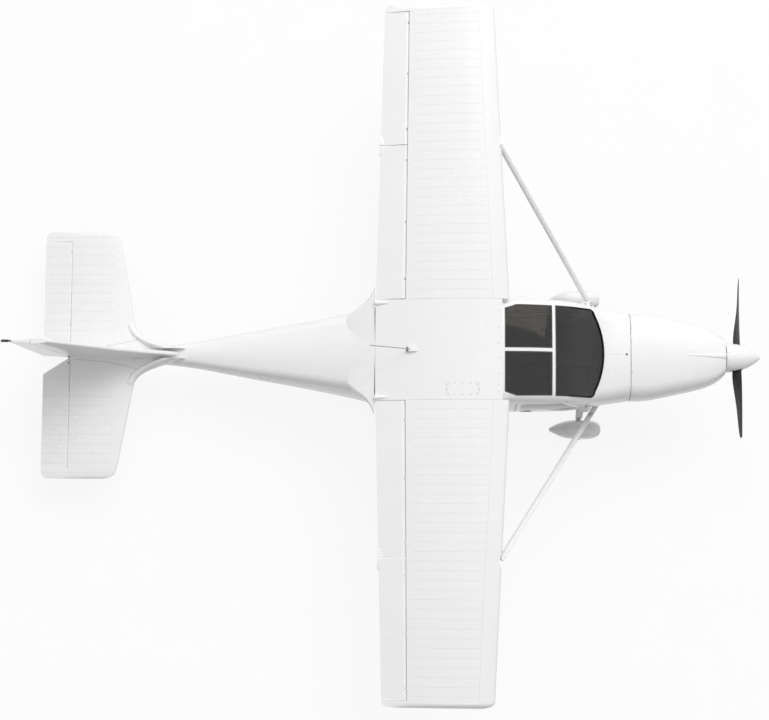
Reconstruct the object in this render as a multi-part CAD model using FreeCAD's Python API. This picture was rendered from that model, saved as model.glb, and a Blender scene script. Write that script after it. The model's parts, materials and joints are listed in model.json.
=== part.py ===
"""Two-seat microlight aircraft: high wing on single struts, slim tail cone, fixed tailwheel gear.

Everything is modelled in millimetres in the level frame of the airframe:
    x forward from the wing's leading edge at the centre section
    y to the aircraft's left
    z up from the thrust line
park() then turns the finished pieces into the row frame, where the aircraft stands on its three
wheels, nose up, with the floor at z = 0 and the origin below the middle of its length.
"""
import FreeCAD
import Part
import math
import os

V = FreeCAD.Vector

# ---------------------------------------------------------------- driving dimensions, mm and degrees
GAP = 6.0                    # running gap round every moving surface
DOOR_GAP = 6.0               # gap round each door
FIT = 0.3                    # gap between pieces that are seated on each other

# wing
WING_ROOT_Y = 540.0          # joint between centre section and wing panel
WING_TIP_Y = 3690.0          # joint between wing panel and tip cap
TIP_CAP_WIDTH = 72.0
TIP_CORNER_RADIUS = 130.0
ROOT_CHORD = 1435.0
TIP_CHORD = 1190.0
TIP_SWEEP = 160.0            # how far the tip's leading edge lies behind the root's
WING_LE_Z = 840.0
CENTER_NOSE_X = -78.0        # front of the centre section, where the cabin roof meets it
INCIDENCE = 2.5
DIHEDRAL = 1.2
HINGE_CHORD = 0.765          # share of chord where flap and aileron start
FLAP_END_Y = 2220.0          # joint between flap and aileron
END_GAP = 9.0                # gap at the ends of flaps and ailerons
TRAILING_EDGE = 0.0035       # trailing edge thickness, share of chord

# fuselage
WALL = 14.0                  # composite sandwich wall
GLASS = 5.0
FIREWALL_X = 1340.0
NOSE_X = 2405.0
CABIN_REAR_X = -1445.0
TAIL_END_X = -4795.0
TAIL_BULKHEAD_X = -4060.0    # the tail cone is hollow in front of it, solid behind it
LEDGE = 12.0                 # overlap of a pane on its rebate

# propeller
PROP_RADIUS = 890.0
SPINNER_RADIUS = 165.0
SPINNER_LENGTH = 385.0
SPINNER_PLATE = 8.0

# undercarriage
WHEEL_X = 862.0
WHEEL_Z = -900.0
WHEEL_Y = 757.0
WHEEL_RADIUS = 185.0
WHEEL_WIDTH = 118.0
TAILWHEEL_X = -4760.0
TAILWHEEL_Z = -150.0
TAILWHEEL_RADIUS = 90.0
TAILWHEEL_WIDTH = 56.0
TAILWHEEL_TRAIL = 30.0       # from the steering axis back to the axle
TAILWHEEL_GAP = 8.0          # from the tyre to the fork crown

# tail
TAILPLANE_Z = 285.0
TAILPLANE_HALF_SPAN = 1380.0
TAILPLANE_HINGE_X = -4870.0
TAIL_TE_X = -5155.0
FIN_TOP_Z = 1640.0
FIN_BASE_Z = 150.0
RUDDER_TE_X = -5190.0
RUDDER_AXIS_BASE_X = -4842.0
RUDDER_AXIS_TOP_X = -4970.0


# ---------------------------------------------------------------- general shapes
def tangent_arc_end(start, heading, end):
    """Heading in degrees at the end of the arc that leaves start along heading and meets end."""
    chord = math.degrees(math.atan2(end[1] - start[1], end[0] - start[0]))
    return 2 * chord - heading


def arc_middle(start, heading, end):
    """Middle point of the arc that leaves start along heading and meets end."""
    dx, dz = end[0] - start[0], end[1] - start[1]
    half = math.atan2(dz, dx) - math.radians(heading)
    rise = math.hypot(dx, dz) / 2 * math.tan(half / 2)
    length = math.hypot(dx, dz)
    return ((start[0] + end[0]) / 2 + dz / length * rise, (start[1] + end[1]) / 2 - dx / length * rise)


def loft(wires, ruled=False):
    return Part.makeLoft(wires, True, ruled)


def box(x0, x1, y0, y1, z0, z1):
    return Part.makeBox(x1 - x0, y1 - y0, z1 - z0, V(x0, y0, z0))


def cylinder(radius, start, end):
    axis = V(*end) - V(*start)
    return Part.makeCylinder(radius, axis.Length, V(*start), axis)


def ellipsoid(centre, half_x, half_y, half_z):
    stretch = FreeCAD.Matrix()
    stretch.scale(half_x, half_y, half_z)
    shape = Part.makeSphere(1).transformGeometry(stretch)
    shape.translate(V(*centre))
    return shape


def mirrored(shape):
    return shape.mirror(V(0, 0, 0), V(0, 1, 0))


def polygon(points):
    return Part.makePolygon([V(*p) for p in points] + [V(*points[0])])


def rounded_outline(points, radii, place):
    """Closed wire of straight runs with an arc of the given radius at each corner."""
    corners = []
    count = len(points)
    for i in range(count):
        here = V(points[i][0], points[i][1], 0)
        back = V(points[i - 1][0], points[i - 1][1], 0) - here
        ahead = V(points[(i + 1) % count][0], points[(i + 1) % count][1], 0) - here
        back.normalize()
        ahead.normalize()
        half = back.getAngle(ahead) / 2
        reach = radii[i] / math.tan(half)
        bisector = back + ahead
        bisector.normalize()
        centre = here + bisector * (radii[i] / math.sin(half))
        corners.append((here + back * reach, centre - bisector * radii[i], here + ahead * reach))
    edges = []
    for i in range(count):
        start, middle, end = corners[i]
        edges.append(Part.Arc(place(start), place(middle), place(end)).toShape())
        follow = corners[(i + 1) % count][0]
        if (follow - end).Length > 0.01:
            edges.append(Part.makeLine(place(end), place(follow)))
    return Part.Wire(edges)


def plan_prism(points, radii, z0, z1):
    """Vertical prism over a rounded outline given as (x, y)."""
    wire = rounded_outline(points, radii, lambda p: V(p.x, p.y, z0))
    return Part.Face(wire).extrude(V(0, 0, z1 - z0))


def side_prism(points, radii, y0, y1):
    """Prism across the aircraft over a rounded outline given as (x, z)."""
    wire = rounded_outline(points, radii, lambda p: V(p.x, y0, p.y))
    return Part.Face(wire).extrude(V(0, y1 - y0, 0))


# ---------------------------------------------------------------- fuselage sections
def quarter(width, height, corner, flat):
    """Top arc end, corner middle and side arc start of a rounded quarter, with tangent arcs.

    flat is the angle in degrees that the long arcs turn before the corner arc takes over.
    """
    a = math.radians(flat)
    s, c = math.sin(a), math.cos(a)
    p, q = width + corner * s - corner * c, height - corner * c + corner * s
    # top_r * s + side_r * (1 - c) = p   and   top_r * (1 - c) + side_r * s = q
    det = s * s - (1 - c) ** 2
    top_r = (p * s - q * (1 - c)) / det
    side_r = (q * s - p * (1 - c)) / det
    top_end = (top_r * s, height - top_r * (1 - c))
    side_end = (width - side_r * (1 - c), side_r * s)
    centre = (top_end[0] - corner * s, top_end[1] - corner * c)
    diagonal = math.radians(45)
    middle = (centre[0] + corner * math.cos(diagonal), centre[1] + corner * math.sin(diagonal))
    half = a / 2
    side_mid = (width - side_r * (1 - math.cos(half)), side_r * math.sin(half))
    return top_end, middle, side_end, side_mid


def body_section(x, width, top, bottom, waist, corner_top, corner_bottom, flat_top, flat_bottom):
    """Closed wire across the body at x: two arcs and a crown above the waist, the same below."""
    ut, um, us, uq = quarter(width, top - waist, corner_top, flat_top)
    lt, lm, ls, lq = quarter(width, waist - bottom, corner_bottom, flat_bottom)

    def at(side, p, sign):
        return V(x, side * p[0], waist + sign * p[1])

    edges = [Part.Arc(at(-1, ut, 1), V(x, 0, top), at(1, ut, 1))]
    edges.append(Part.Arc(at(1, ut, 1), at(1, um, 1), at(1, us, 1)))
    edges.append(Part.Arc(at(1, us, 1), at(1, uq, 1), V(x, width, waist)))
    edges.append(Part.Arc(V(x, width, waist), at(1, lq, -1), at(1, ls, -1)))
    edges.append(Part.Arc(at(1, ls, -1), at(1, lm, -1), at(1, lt, -1)))
    edges.append(Part.Arc(at(1, lt, -1), V(x, 0, bottom), at(-1, lt, -1)))
    edges.append(Part.Arc(at(-1, lt, -1), at(-1, lm, -1), at(-1, ls, -1)))
    edges.append(Part.Arc(at(-1, ls, -1), at(-1, lq, -1), V(x, -width, waist)))
    edges.append(Part.Arc(V(x, -width, waist), at(-1, uq, 1), at(-1, us, 1)))
    edges.append(Part.Arc(at(-1, us, 1), at(-1, um, 1), at(-1, ut, 1)))
    return Part.Wire([e.toShape() for e in edges])


# x, half width, top z, bottom z, waist z, corner radius top and bottom, flat angle top and bottom
CABIN_SECTIONS = [
    (FIREWALL_X, 484, 352, -362, 0, 190, 170, 14, 14),
    (1150, 518, 392, -402, 20, 180, 180, 13, 13),
    (1010, 540, 448, -425, 40, 165, 190, 12, 13),
    (760, 586, 640, -446, 70, 150, 195, 11, 12),
    (520, 604, 796, -452, 90, 140, 200, 10, 12),
    (380, 608, 842, -452, 100, 135, 200, 10, 12),
    (-60, 610, 888, -450, 100, 130, 200, 10, 12),
    (-800, 596, 846, -428, 100, 140, 195, 10, 12),
    (CABIN_REAR_X, 540, 772, -352, 110, 160, 185, 12, 13),
]
TAIL_SECTIONS = [
    (CABIN_REAR_X, 540, 772, -352, 110, 160, 185, 12, 13),
    (-1690, 480, 704, -302, 120, 150, 170, 13, 14),
    (-2350, 348, 566, -180, 145, 130, 130, 15, 16),
    (-3020, 228, 452, -75, 165, 95, 95, 18, 18),
    (-3650, 122, 366, 20, 180, 70, 70, 20, 20),
    (-4150, 92, 322, 72, 190, 58, 58, 22, 22),
    (TAIL_END_X, 52, 268, 132, 200, 40, 38, 24, 24),
]
COWL_SECTIONS = [
    (FIREWALL_X, 484, 352, -362, 0, 190, 170, 14, 14),
    (1750, 442, 316, -352, -10, 185, 175, 15, 15),
    (2120, 358, 262, -318, -16, 165, 165, 18, 18),
    (2310, 282, 218, -272, -16, 140, 140, 22, 22),
    (NOSE_X, 204, 186, -214, -8, 120, 130, 26, 26),
]


def inset(section, wall):
    """The same section a wall's thickness further in."""
    x, width, top, bottom, waist, ct, cb, ft, fb = section
    return (x, width - wall, top - wall, bottom + wall, waist, max(ct - wall, 12), max(cb - wall, 12), ft, fb)


def body(sections, wall=0.0, first=0.0, last=0.0):
    """Smooth loft through the sections, each a wall's thickness in, with its ends moved along x."""
    rows = [inset(s, wall) if wall else s for s in sections]
    rows[0] = (rows[0][0] + first,) + rows[0][1:]
    rows[-1] = (rows[-1][0] + last,) + rows[-1][1:]
    return loft([body_section(*row) for row in rows])


# ---------------------------------------------------------------- glazing, doors and hatches, as cut outlines
ROOF_BAR_X = 475.0           # arch between the roof windows and the windscreen
ROOF_BAR_WIDTH = 34.0
ROOF_BAR_MIDDLE = 36.0       # bar between the two roof windows
ROOF_WINDOW_REAR_X = -52.0
ROOF_GLASS_Y = 492.0
SCREEN_BASE_X = 1046.0
SCREEN_BASE_SIDE_X = 935.0


def roof_window_outline(side, grow=0.0):
    front = ROOF_BAR_X - ROOF_BAR_WIDTH / 2 + grow
    inner = ROOF_BAR_MIDDLE / 2 - grow
    rear = ROOF_WINDOW_REAR_X - grow
    outer = ROOF_GLASS_Y + grow
    points = [(front, inner), (front, outer - 6), (rear + 125, outer), (rear, outer - 42), (rear, inner)]
    return [(x, side * y) for x, y in points], [10, 10, 10, 10, 10]


def roof_window_cutter(side, grow=0.0):
    points, radii = roof_window_outline(side, grow)
    return plan_prism(points, radii, 560, 1000)


def screen_cutter(grow=0.0):
    """Vertical prism over the windscreen: straight behind, round in front."""
    rear = ROOF_BAR_X + ROOF_BAR_WIDTH / 2 - grow
    outer = ROOF_GLASS_Y - 4 + grow
    side_front = SCREEN_BASE_SIDE_X + grow
    corner = 45.0
    z0, z1 = 330, 1000
    front = SCREEN_BASE_X + grow
    edges = [
        Part.makeLine(V(rear, -outer, z0), V(side_front - corner, -outer, z0)),
        Part.Arc(
            V(side_front - corner, -outer, z0),
            V(side_front - 6, -outer + 26, z0),
            V(side_front + 8, -outer + 62, z0),
        ).toShape(),
        Part.Arc(
            V(side_front + 8, -outer + 62, z0), V(front, 0, z0), V(side_front + 8, outer - 62, z0)
        ).toShape(),
        Part.Arc(
            V(side_front + 8, outer - 62, z0),
            V(side_front - 6, outer - 26, z0),
            V(side_front - corner, outer, z0),
        ).toShape(),
        Part.makeLine(V(side_front - corner, outer, z0), V(rear, outer, z0)),
        Part.makeLine(V(rear, outer, z0), V(rear, -outer, z0)),
    ]
    return Part.Face(Part.Wire(edges)).extrude(V(0, 0, z1 - z0))


DOOR_OUTLINE = [(862, -285), (862, 300), (590, 668), (82, 690), (82, -285)]
DOOR_RADII = [70, 60, 60, 60, 80]
DOOR_WINDOW = [(752, 262), (560, 628), (132, 646), (132, 262)]
DOOR_WINDOW_RADII = [18, 45, 60, 90]
DOOR_HINGE_X = 865.0
DOOR_HINGE_Y = 592.0
DOOR_HINGE_Z = (-110.0, 170.0)
DOOR_OPEN = 50.0


def side_cutter(points, radii, side, grow=0.0):
    """Prism through one side wall over an outline given as (x, z), enlarged by grow all round."""
    wire = rounded_outline(points, radii, lambda p: V(p.x, 420 * side, p.y))
    face = Part.Face(wire)
    if grow:
        face = face.makeOffset2D(grow)
    return face.extrude(V(0, 280 * side, 0))


# ---------------------------------------------------------------- lifting surfaces
def nose_end(height, at, share):
    """End of the nose arc, tangent to the next arc, which is level where it reaches (at, height)."""
    z, x = share * abs(height), 0.0
    for _ in range(8):
        heading = 2 * math.atan((abs(height) - z) / (at - x))
        x = z / math.tan(math.pi / 4 + heading / 2)
    return (x, math.copysign(z, height))


def wing_side(height, at, share, hinge, edge, scale, grow):
    """One side of the unit aerofoil: nose, end of nose arc, thickest point, hinge, trailing edge."""
    thick = height * scale + grow
    return [
        (0.0, 0.0),
        nose_end(thick, at, share),
        (at, thick),
        (HINGE_CHORD, hinge * scale + grow),
        (1.0, edge + grow),
    ]


def wing_sides(scale=1.0, grow=0.0):
    """Both sides, with their thickness scaled and then grown by a share of the chord."""
    upper = wing_side(0.0921, 0.280, 0.35, 0.0467, 0.0030, scale, grow)
    lower = wing_side(-0.0322, 0.250, 0.60, -0.0153, 0.0030 - TRAILING_EDGE, scale, -grow)
    return upper, lower


UPPER, LOWER = wing_sides()
WING_AXIS = (0.795, 0.0139)      # hinge axis of flap and aileron in the unit aerofoil
WING_NOSE = 0.0262               # nose radius of flap and aileron


def wing_place(y):
    """Chord, leading edge x and leading edge z of the wing at span station y."""
    share = max((y - WING_ROOT_Y) / (WING_TIP_Y - WING_ROOT_Y), 0.0)
    chord = ROOT_CHORD + (TIP_CHORD - ROOT_CHORD) * share
    lift = max(y - WING_ROOT_Y, 0.0) * math.tan(math.radians(DIHEDRAL))
    return chord, -TIP_SWEEP * share, WING_LE_Z + lift


def wing_point(point, y, station=None):
    """A point of the unit aerofoil at span station y, in the level frame."""
    chord, le_x, le_z = station or wing_place(abs(y))
    a = math.radians(INCIDENCE)
    aft, up = point[0] * chord, point[1] * chord
    return V(le_x - (aft * math.cos(a) + up * math.sin(a)), y, le_z + up * math.cos(a) - aft * math.sin(a))


class Profile:
    """Closed section of a lifting surface in plane coordinates: arcs from nose to hinge, then flat."""

    def __init__(self, upper, lower, axis, radius, nose_heading=90.0):
        self.upper, self.lower, self.axis, self.radius = upper, lower, axis, radius
        self.up_heads = self.headings(upper[:4], nose_heading)
        self.low_heads = self.headings(lower[:4], -nose_heading)

    def headings(self, points, first):
        heads = [first]
        for i in range(len(points) - 1):
            heads.append(tangent_arc_end(points[i], heads[-1], points[i + 1]))
        return heads

    def arcs(self, points, heads, place):
        edges = []
        for i in range(3):
            middle = arc_middle(points[i], heads[i], points[i + 1])
            edges.append(Part.Arc(place(points[i]), place(middle), place(points[i + 1])).toShape())
        return edges

    def full(self, place):
        edges = self.arcs(self.upper, self.up_heads, place)
        edges.append(Part.makeLine(place(self.upper[3]), place(self.upper[4])))
        edges.append(Part.makeLine(place(self.upper[4]), place(self.lower[4])))
        edges.append(Part.makeLine(place(self.lower[4]), place(self.lower[3])))
        edges += self.arcs(self.lower, self.low_heads, place)[::-1]
        return Part.Wire(Part.__sortEdges__(edges))

    def height(self, points, heads, x):
        """Height of one side at x, between its thickest point and its trailing edge."""
        (x0, z0), (x1, z1) = points[2], points[3]
        if x > x1:
            (x0, z0), (x1, z1) = points[3], points[4]
            return z0 + (z1 - z0) * (x - x0) / (x1 - x0)
        half = math.atan2(z1 - z0, x1 - x0) - math.radians(heads[2])
        radius = math.hypot(x1 - x0, z1 - z0) / 2 / math.sin(half)
        h = math.radians(heads[2])
        cx, cz = x0 - radius * math.sin(h), z0 + radius * math.cos(h)
        return cz - math.copysign(math.sqrt(radius * radius - (x - cx) ** 2), radius)

    def circle(self, degrees, radius):
        a = math.radians(degrees)
        return (self.axis[0] - radius * math.cos(a), self.axis[1] + radius * math.sin(a))

    def front(self, place, gap):
        """Fixed part: its cove is an arc about the hinge axis, a gap outside the moving nose."""
        radius = self.radius + gap
        lip_x = self.axis[0] - radius * 0.82
        lip_up = (lip_x, self.height(self.upper, self.up_heads, lip_x))
        lip_low = (lip_x, self.height(self.lower, self.low_heads, lip_x))
        turn = math.degrees(math.acos(0.82))
        top, front, bottom = (place(self.circle(t, radius)) for t in (turn, 0, -turn))
        edges = self.arcs(self.upper[:3] + [lip_up], self.up_heads, place)
        edges.append(Part.makeLine(place(lip_up), top))
        edges.append(Part.Arc(top, front, bottom).toShape())
        edges.append(Part.makeLine(bottom, place(lip_low)))
        edges += self.arcs(self.lower[:3] + [lip_low], self.low_heads, place)[::-1]
        return Part.Wire(Part.__sortEdges__(edges))

    def rear(self, place):
        """Moving part: round nose about the hinge axis, then flat to the trailing edge."""
        touch = self.axis[0] + self.radius * 0.2
        top = place((touch, self.height(self.upper, self.up_heads, touch)))
        bottom = place((touch, self.height(self.lower, self.low_heads, touch)))
        edges = [
            Part.Arc(top, place(self.circle(0, self.radius)), bottom).toShape(),
            Part.makeLine(bottom, place(self.lower[4])),
            Part.makeLine(place(self.lower[4]), place(self.upper[4])),
            Part.makeLine(place(self.upper[4]), top),
        ]
        return Part.Wire(Part.__sortEdges__(edges))


WING = Profile(UPPER, LOWER, WING_AXIS, WING_NOSE)


def wing_wire(y, kind, grow=0.0):
    place = lambda p: wing_point(p, y)
    if kind == "front":
        return WING.front(place, GAP / wing_place(abs(y))[0])
    if kind == "rear":
        return WING.rear(place)
    chord, le_x, le_z = wing_place(abs(y))
    profile = Profile(*wing_sides(1.0, grow / chord), WING_AXIS, WING_NOSE)
    return profile.full(lambda p: wing_point(p, y, (chord + 2 * grow, le_x + grow, le_z)))


def wing_loft(y0, y1, kind, grow=0.0):
    """Straight-tapered piece of wing, constant between the two root joints."""
    joints = [y for y in (-WING_ROOT_Y, WING_ROOT_Y) if y0 < y < y1]
    return loft([wing_wire(y, kind, grow) for y in [y0] + joints + [y1]], True)


def center_section(half, grow=0.0):
    """Middle of the wing over the cabin, its nose cut off square where the roof meets it."""
    return wing_loft(-half, half, "full", grow).cut(box(CENTER_NOSE_X + grow, 200, -900, 900, 500, 1200))


def wing_axis(y):
    return wing_point(WING_AXIS, y)


def slab(le, te, axis, half, hinge_half, grow=0.0):
    """Symmetrical section of a tail surface between two x values, in millimetres aft of le."""
    chord, hinge = le - te, le - axis
    half, hinge_half = half + grow, hinge_half + grow
    upper = [
        (0.0, 0.0),
        nose_end(half, 0.32 * chord, 0.5),
        (0.32 * chord, half),
        (hinge - hinge_half * 0.6, hinge_half * 1.04),
        (chord, 2.5 + grow),
    ]
    lower = [(x, -z) for x, z in upper]
    return Profile(upper, lower, (hinge, 0.0), hinge_half * 0.93)


# y, leading edge x, half thickness, half thickness at hinge
TAILPLANE_SECTIONS = [(0, -4075, 48, 24), (1150, -4285, 36, 19), (1380, -4330, 32, 17)]
# z, leading edge x, half thickness, half thickness at hinge
FIN_SECTIONS = [
    (FIN_BASE_Z, -3380, 40, 25),
    (420, -3680, 42, 25),
    (640, -3990, 41, 24),
    (900, -4250, 38, 23),
    (FIN_TOP_Z, -4780, 26, 18),
]


def interpolate(table, at):
    for low, high in zip(table, table[1:]):
        if at <= high[0]:
            t = (at - low[0]) / (high[0] - low[0])
            return tuple(a + (b - a) * t for a, b in zip(low, high))
    return table[-1]


def tailplane_wire(y, kind, grow=0.0):
    _, le, half, hinge_half = interpolate(TAILPLANE_SECTIONS, abs(y))
    le += grow
    profile = slab(le, TAIL_TE_X - grow, TAILPLANE_HINGE_X, half, hinge_half, grow)
    place = lambda p: V(le - p[0], y, TAILPLANE_Z + p[1])
    if kind == "front":
        return profile.front(place, GAP)
    return profile.rear(place) if kind == "rear" else profile.full(place)


def rudder_axis(z):
    t = (z - FIN_BASE_Z) / (FIN_TOP_Z - FIN_BASE_Z)
    return V(RUDDER_AXIS_BASE_X + (RUDDER_AXIS_TOP_X - RUDDER_AXIS_BASE_X) * t, 0, z)


def fin_wire(z, kind):
    _, le, half, hinge_half = interpolate(FIN_SECTIONS, z)
    profile = slab(le, RUDDER_TE_X, rudder_axis(z).x, half, hinge_half)
    place = lambda p: V(le - p[0], p[1], z)
    return profile.front(place, GAP) if kind == "front" else profile.rear(place)


# ---------------------------------------------------------------- hinges of moving surfaces
PIN_RADIUS = 4.0
PIN_FIT = 0.05


class SurfaceHinge:
    """Arm on the fixed surface, and slot and pin in the moving one, about the same axis."""

    def __init__(self, centre, along, forward, arm_half, reach, slot_width=22.0, plate=10.0):
        self.centre, self.along, self.slot_width, self.plate = centre, along, slot_width, plate
        self.along.normalize()
        side = along.cross(forward)
        side.normalize()
        self.side, self.forward = side, side.cross(along)
        self.arm_half, self.reach = arm_half, reach

    def at(self, forward, side, along):
        return self.centre + self.forward * forward + self.side * side + self.along * along

    def disc(self, radius, width):
        return Part.makeCylinder(radius, width, self.at(0, 0, -width / 2), self.along)

    def prism(self, outline, width):
        wire = Part.makePolygon([self.at(f, s, -width / 2) for f, s in outline + outline[:1]])
        return Part.Face(wire).extrude(self.along * width)

    def arm(self):
        h = self.arm_half
        bar = self.prism([(0, -h), (0, h), (self.reach, h), (self.reach, -h)], self.plate)
        return self.disc(h, self.plate).fuse(bar).cut(self.disc(PIN_RADIUS + PIN_FIT, self.plate + 2))

    def slot(self):
        r = self.arm_half + 5.5
        far, spread = 70.0, math.radians(64)
        mouth = [(far * math.cos(spread), s * far * math.sin(spread)) for s in (1, -1)]
        root = [(0, s * r) for s in (1, -1)]
        wedge = self.prism([root[0], mouth[0], (far, 0), mouth[1], root[1]], self.slot_width)
        return self.disc(r, self.slot_width).fuse(wedge)

    def pin(self):
        return self.disc(PIN_RADIUS, self.slot_width + 12)


def fit_hinges(fixed, moving, hinges):
    fixed = fixed.fuse([h.arm() for h in hinges])
    moving = moving.cut([h.slot() for h in hinges]).fuse([h.pin() for h in hinges])
    return fixed, moving


# ---------------------------------------------------------------- cabin
def outer_cabin(wall=0.0, first=0.0, last=0.0):
    return body(CABIN_SECTIONS, wall, first, last)


def pane_layer(cutter):
    """The outer skin layer, a pane thick, inside a cutter."""
    return outer_cabin().common(cutter).cut(outer_cabin(GLASS, 2, -2))


def door_hinge_blocks(side, z):
    """Fixed knuckles with their pin, and the door's knuckle, at height z."""
    x, y = DOOR_HINGE_X, DOOR_HINGE_Y * side
    pin = cylinder(PIN_RADIUS, (x, y, z - 28), (x, y, z + 28))

    def leaf(forward, low, high):
        """Knuckle with a strap that reaches over the seam into the skin behind or ahead of it."""
        strap_y = sorted([y - 8 * side, y + 8 * side])
        root_y = sorted([y - 50 * side, y + 8 * side])
        strap = box(*sorted([x, x + 44 * forward]), *strap_y, low, high)
        root = box(*sorted([x + 10 * forward, x + 44 * forward]), *root_y, low, high)
        return cylinder(9, (x, y, low), (x, y, high)).fuse([strap, root])

    moving = leaf(-1, z - 12, z + 12).cut(cylinder(PIN_RADIUS + PIN_FIT, (x, y, z - 13), (x, y, z + 13)))
    return [leaf(1, z - 28, z - 15), leaf(1, z + 15, z + 28), pin], moving


def build_cabin(parts, wing_cut):
    outside = outer_cabin()
    inside = outer_cabin(WALL, 2, -2)
    skin = outer_cabin(GLASS + FIT, 2, -2)
    wall = outside.cut(inside)
    shell = wall.cut(wing_cut)
    panes = [screen_cutter(0), roof_window_cutter(1, 0), roof_window_cutter(-1, 0)]
    holes = [screen_cutter(-LEDGE), roof_window_cutter(1, -LEDGE), roof_window_cutter(-1, -LEDGE)]
    rebates = [pane.cut(skin) for pane in panes]
    openings = [side_cutter(DOOR_OUTLINE, DOOR_RADII, side, DOOR_GAP) for side in (1, -1)]
    shell = shell.cut(holes + openings).cut(rebates)
    parts["windscreen"] = pane_layer(screen_cutter(-FIT))
    windows = [pane_layer(roof_window_cutter(side, -FIT)) for side in (1, -1)]
    parts["roof_windows"] = Part.makeCompound(windows)
    for side, name in ((1, "left"), (-1, "right")):
        door = wall.common(side_cutter(DOOR_OUTLINE, DOOR_RADII, side))
        pane = side_cutter(DOOR_WINDOW, DOOR_WINDOW_RADII, side)
        door = door.cut(side_cutter(DOOR_WINDOW, DOOR_WINDOW_RADII, side, -LEDGE)).cut(pane.cut(skin))
        for z in DOOR_HINGE_Z:
            fixed, moving = door_hinge_blocks(side, z)
            shell = shell.fuse(fixed)
            door = door.fuse(moving)
        parts["door_" + name] = door
        parts["door_window_" + name] = pane_layer(
            side_cutter(DOOR_WINDOW, DOOR_WINDOW_RADII, side, -FIT)
        )
    # flange that carries the engine cowling
    flange = body(COWL_SECTIONS, COWL_WALL + FIT).cut(body(COWL_SECTIONS, COWL_WALL + FIT + 8, -2, 2))
    shell = shell.fuse(flange.common(box(FIREWALL_X - 1, FIREWALL_X + 28, -600, 600, -600, 600)))
    lip = wall.common(box(FIREWALL_X - 6, FIREWALL_X, -600, 600, -600, 600))
    parts["cabin_shell"] = shell.fuse(lip)
    return inside


FLOOR_Z = -322.0
SEAT_Z = -205.0
BULKHEAD_X = -760.0
COWL_WALL = 5.0


def build_interior(parts):
    room = outer_cabin(WALL + FIT, 2, -2)
    parts["firewall"] = room.common(box(FIREWALL_X - 14, FIREWALL_X, -600, 600, -600, 600))
    parts["cabin_floor"] = room.common(
        box(BULKHEAD_X + FIT, FIREWALL_X - 14 - FIT, -700, 700, FLOOR_Z - 10, FLOOR_Z)
    )
    parts["rear_bulkhead"] = room.common(box(BULKHEAD_X - 12, BULKHEAD_X, -700, 700, -600, 900))
    hood = side_prism(
        [(912, 110), (940, 110), (948, 392), (1036, 392), (1036, 404), (905, 410)], [3, 3, 3, 3, 3, 12], -560, 560
    )
    parts["instrument_panel"] = room.common(hood)

    # seat bench with its tubular legs, and the loose cushions on it
    bench = side_prism([(340, SEAT_Z - 8), (352, SEAT_Z), (-70, SEAT_Z), (-88, SEAT_Z - 8)], [1] * 4, -505, 505)
    back = side_prism([(-70, SEAT_Z - 8), (-60, SEAT_Z), (-322, 430), (-336, 424)], [1] * 4, -505, 505)
    legs = [
        cylinder(14, (x, y, FLOOR_Z + FIT), (x, y, SEAT_Z - 4)) for x in (-40, 300) for y in (-440, 0, 440)
    ]
    parts["seat_frame"] = bench.fuse([back] + legs)
    cushions, backrests = [], []
    for y0, y1 in ((-490, -25), (25, 490)):
        z = SEAT_Z + FIT
        cushion = box(40, 350, y0, y1, z, z + 85)
        cushions.append(cushion.makeFillet(24, cushion.Edges))
        rest = box(0, 80, y0, y1, 0, 560)
        rest = rest.makeFillet(24, rest.Edges)
        rest.rotate(V(0, 0, 0), V(0, 1, 0), -math.degrees(math.atan2(262, 635)))
        rest.translate(V(-60 - 12 * 262 / 635 + 2 * FIT, 0, SEAT_Z + 12))
        backrests.append(rest)
    parts["seat_cushions"] = Part.makeCompound(cushions)
    parts["seat_backrests"] = Part.makeCompound(backrests)

    tube = cylinder(13, (480, -262, FLOOR_Z + 42), (480, 262, FLOOR_Z + 42))
    sticks = [cylinder(11, (480, y, FLOOR_Z + 42), (430, y, 20)) for y in (-240, 240)]
    grips = [cylinder(17, (430, y, 20), (415, y, 140)) for y in (-240, 240)]
    blocks = [box(462, 498, y - 15, y + 15, FLOOR_Z + FIT, FLOOR_Z + 42) for y in (-130, 130)]
    parts["control_sticks"] = tube.fuse(sticks + grips + blocks)

    bar = cylinder(12, (1150, -400, FLOOR_Z + 60), (1150, 400, FLOOR_Z + 60))
    pedals, feet = [], []
    for y in (-330, -170, 170, 330):
        pedals.append(cylinder(8, (1150, y, FLOOR_Z + 60), (1175, y, FLOOR_Z + 200)))
        pedals.append(box(1160, 1172, y - 45, y + 45, FLOOR_Z + 150, FLOOR_Z + 235))
    for y in (-250, 250):
        feet.append(box(1135, 1165, y - 14, y + 14, FLOOR_Z + FIT, FLOOR_Z + 62))
    parts["rudder_pedals"] = bar.fuse(pedals + feet)


# ---------------------------------------------------------------- engine bay
COWL_SPLIT_Z = -8.0
SPINNER_X = NOSE_X + 13.0
SHAFT_RADIUS = 30.0


# distance from the front of the cowl, radius and sinking of the ridge along its top
COWL_RIDGE = [(0, 44, 27), (90, 34, 21), (200, 26, 17), (350, 14, 9.5), (520, 3, 2.4)]


def cowl_ridge(outside):
    """Tapered ridge from the front of the cowl back along its top."""
    wires = []
    for back, radius, sunk in COWL_RIDGE:
        x = NOSE_X - max(back, 0.5)
        crown = max(wire.BoundBox.ZMax for wire in outside.slice(V(1, 0, 0), x))
        circle = Part.makeCircle(radius, V(x, 0, crown - sunk), V(1, 0, 0))
        wires.append(Part.Wire([circle]))
    return loft(wires)


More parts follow.
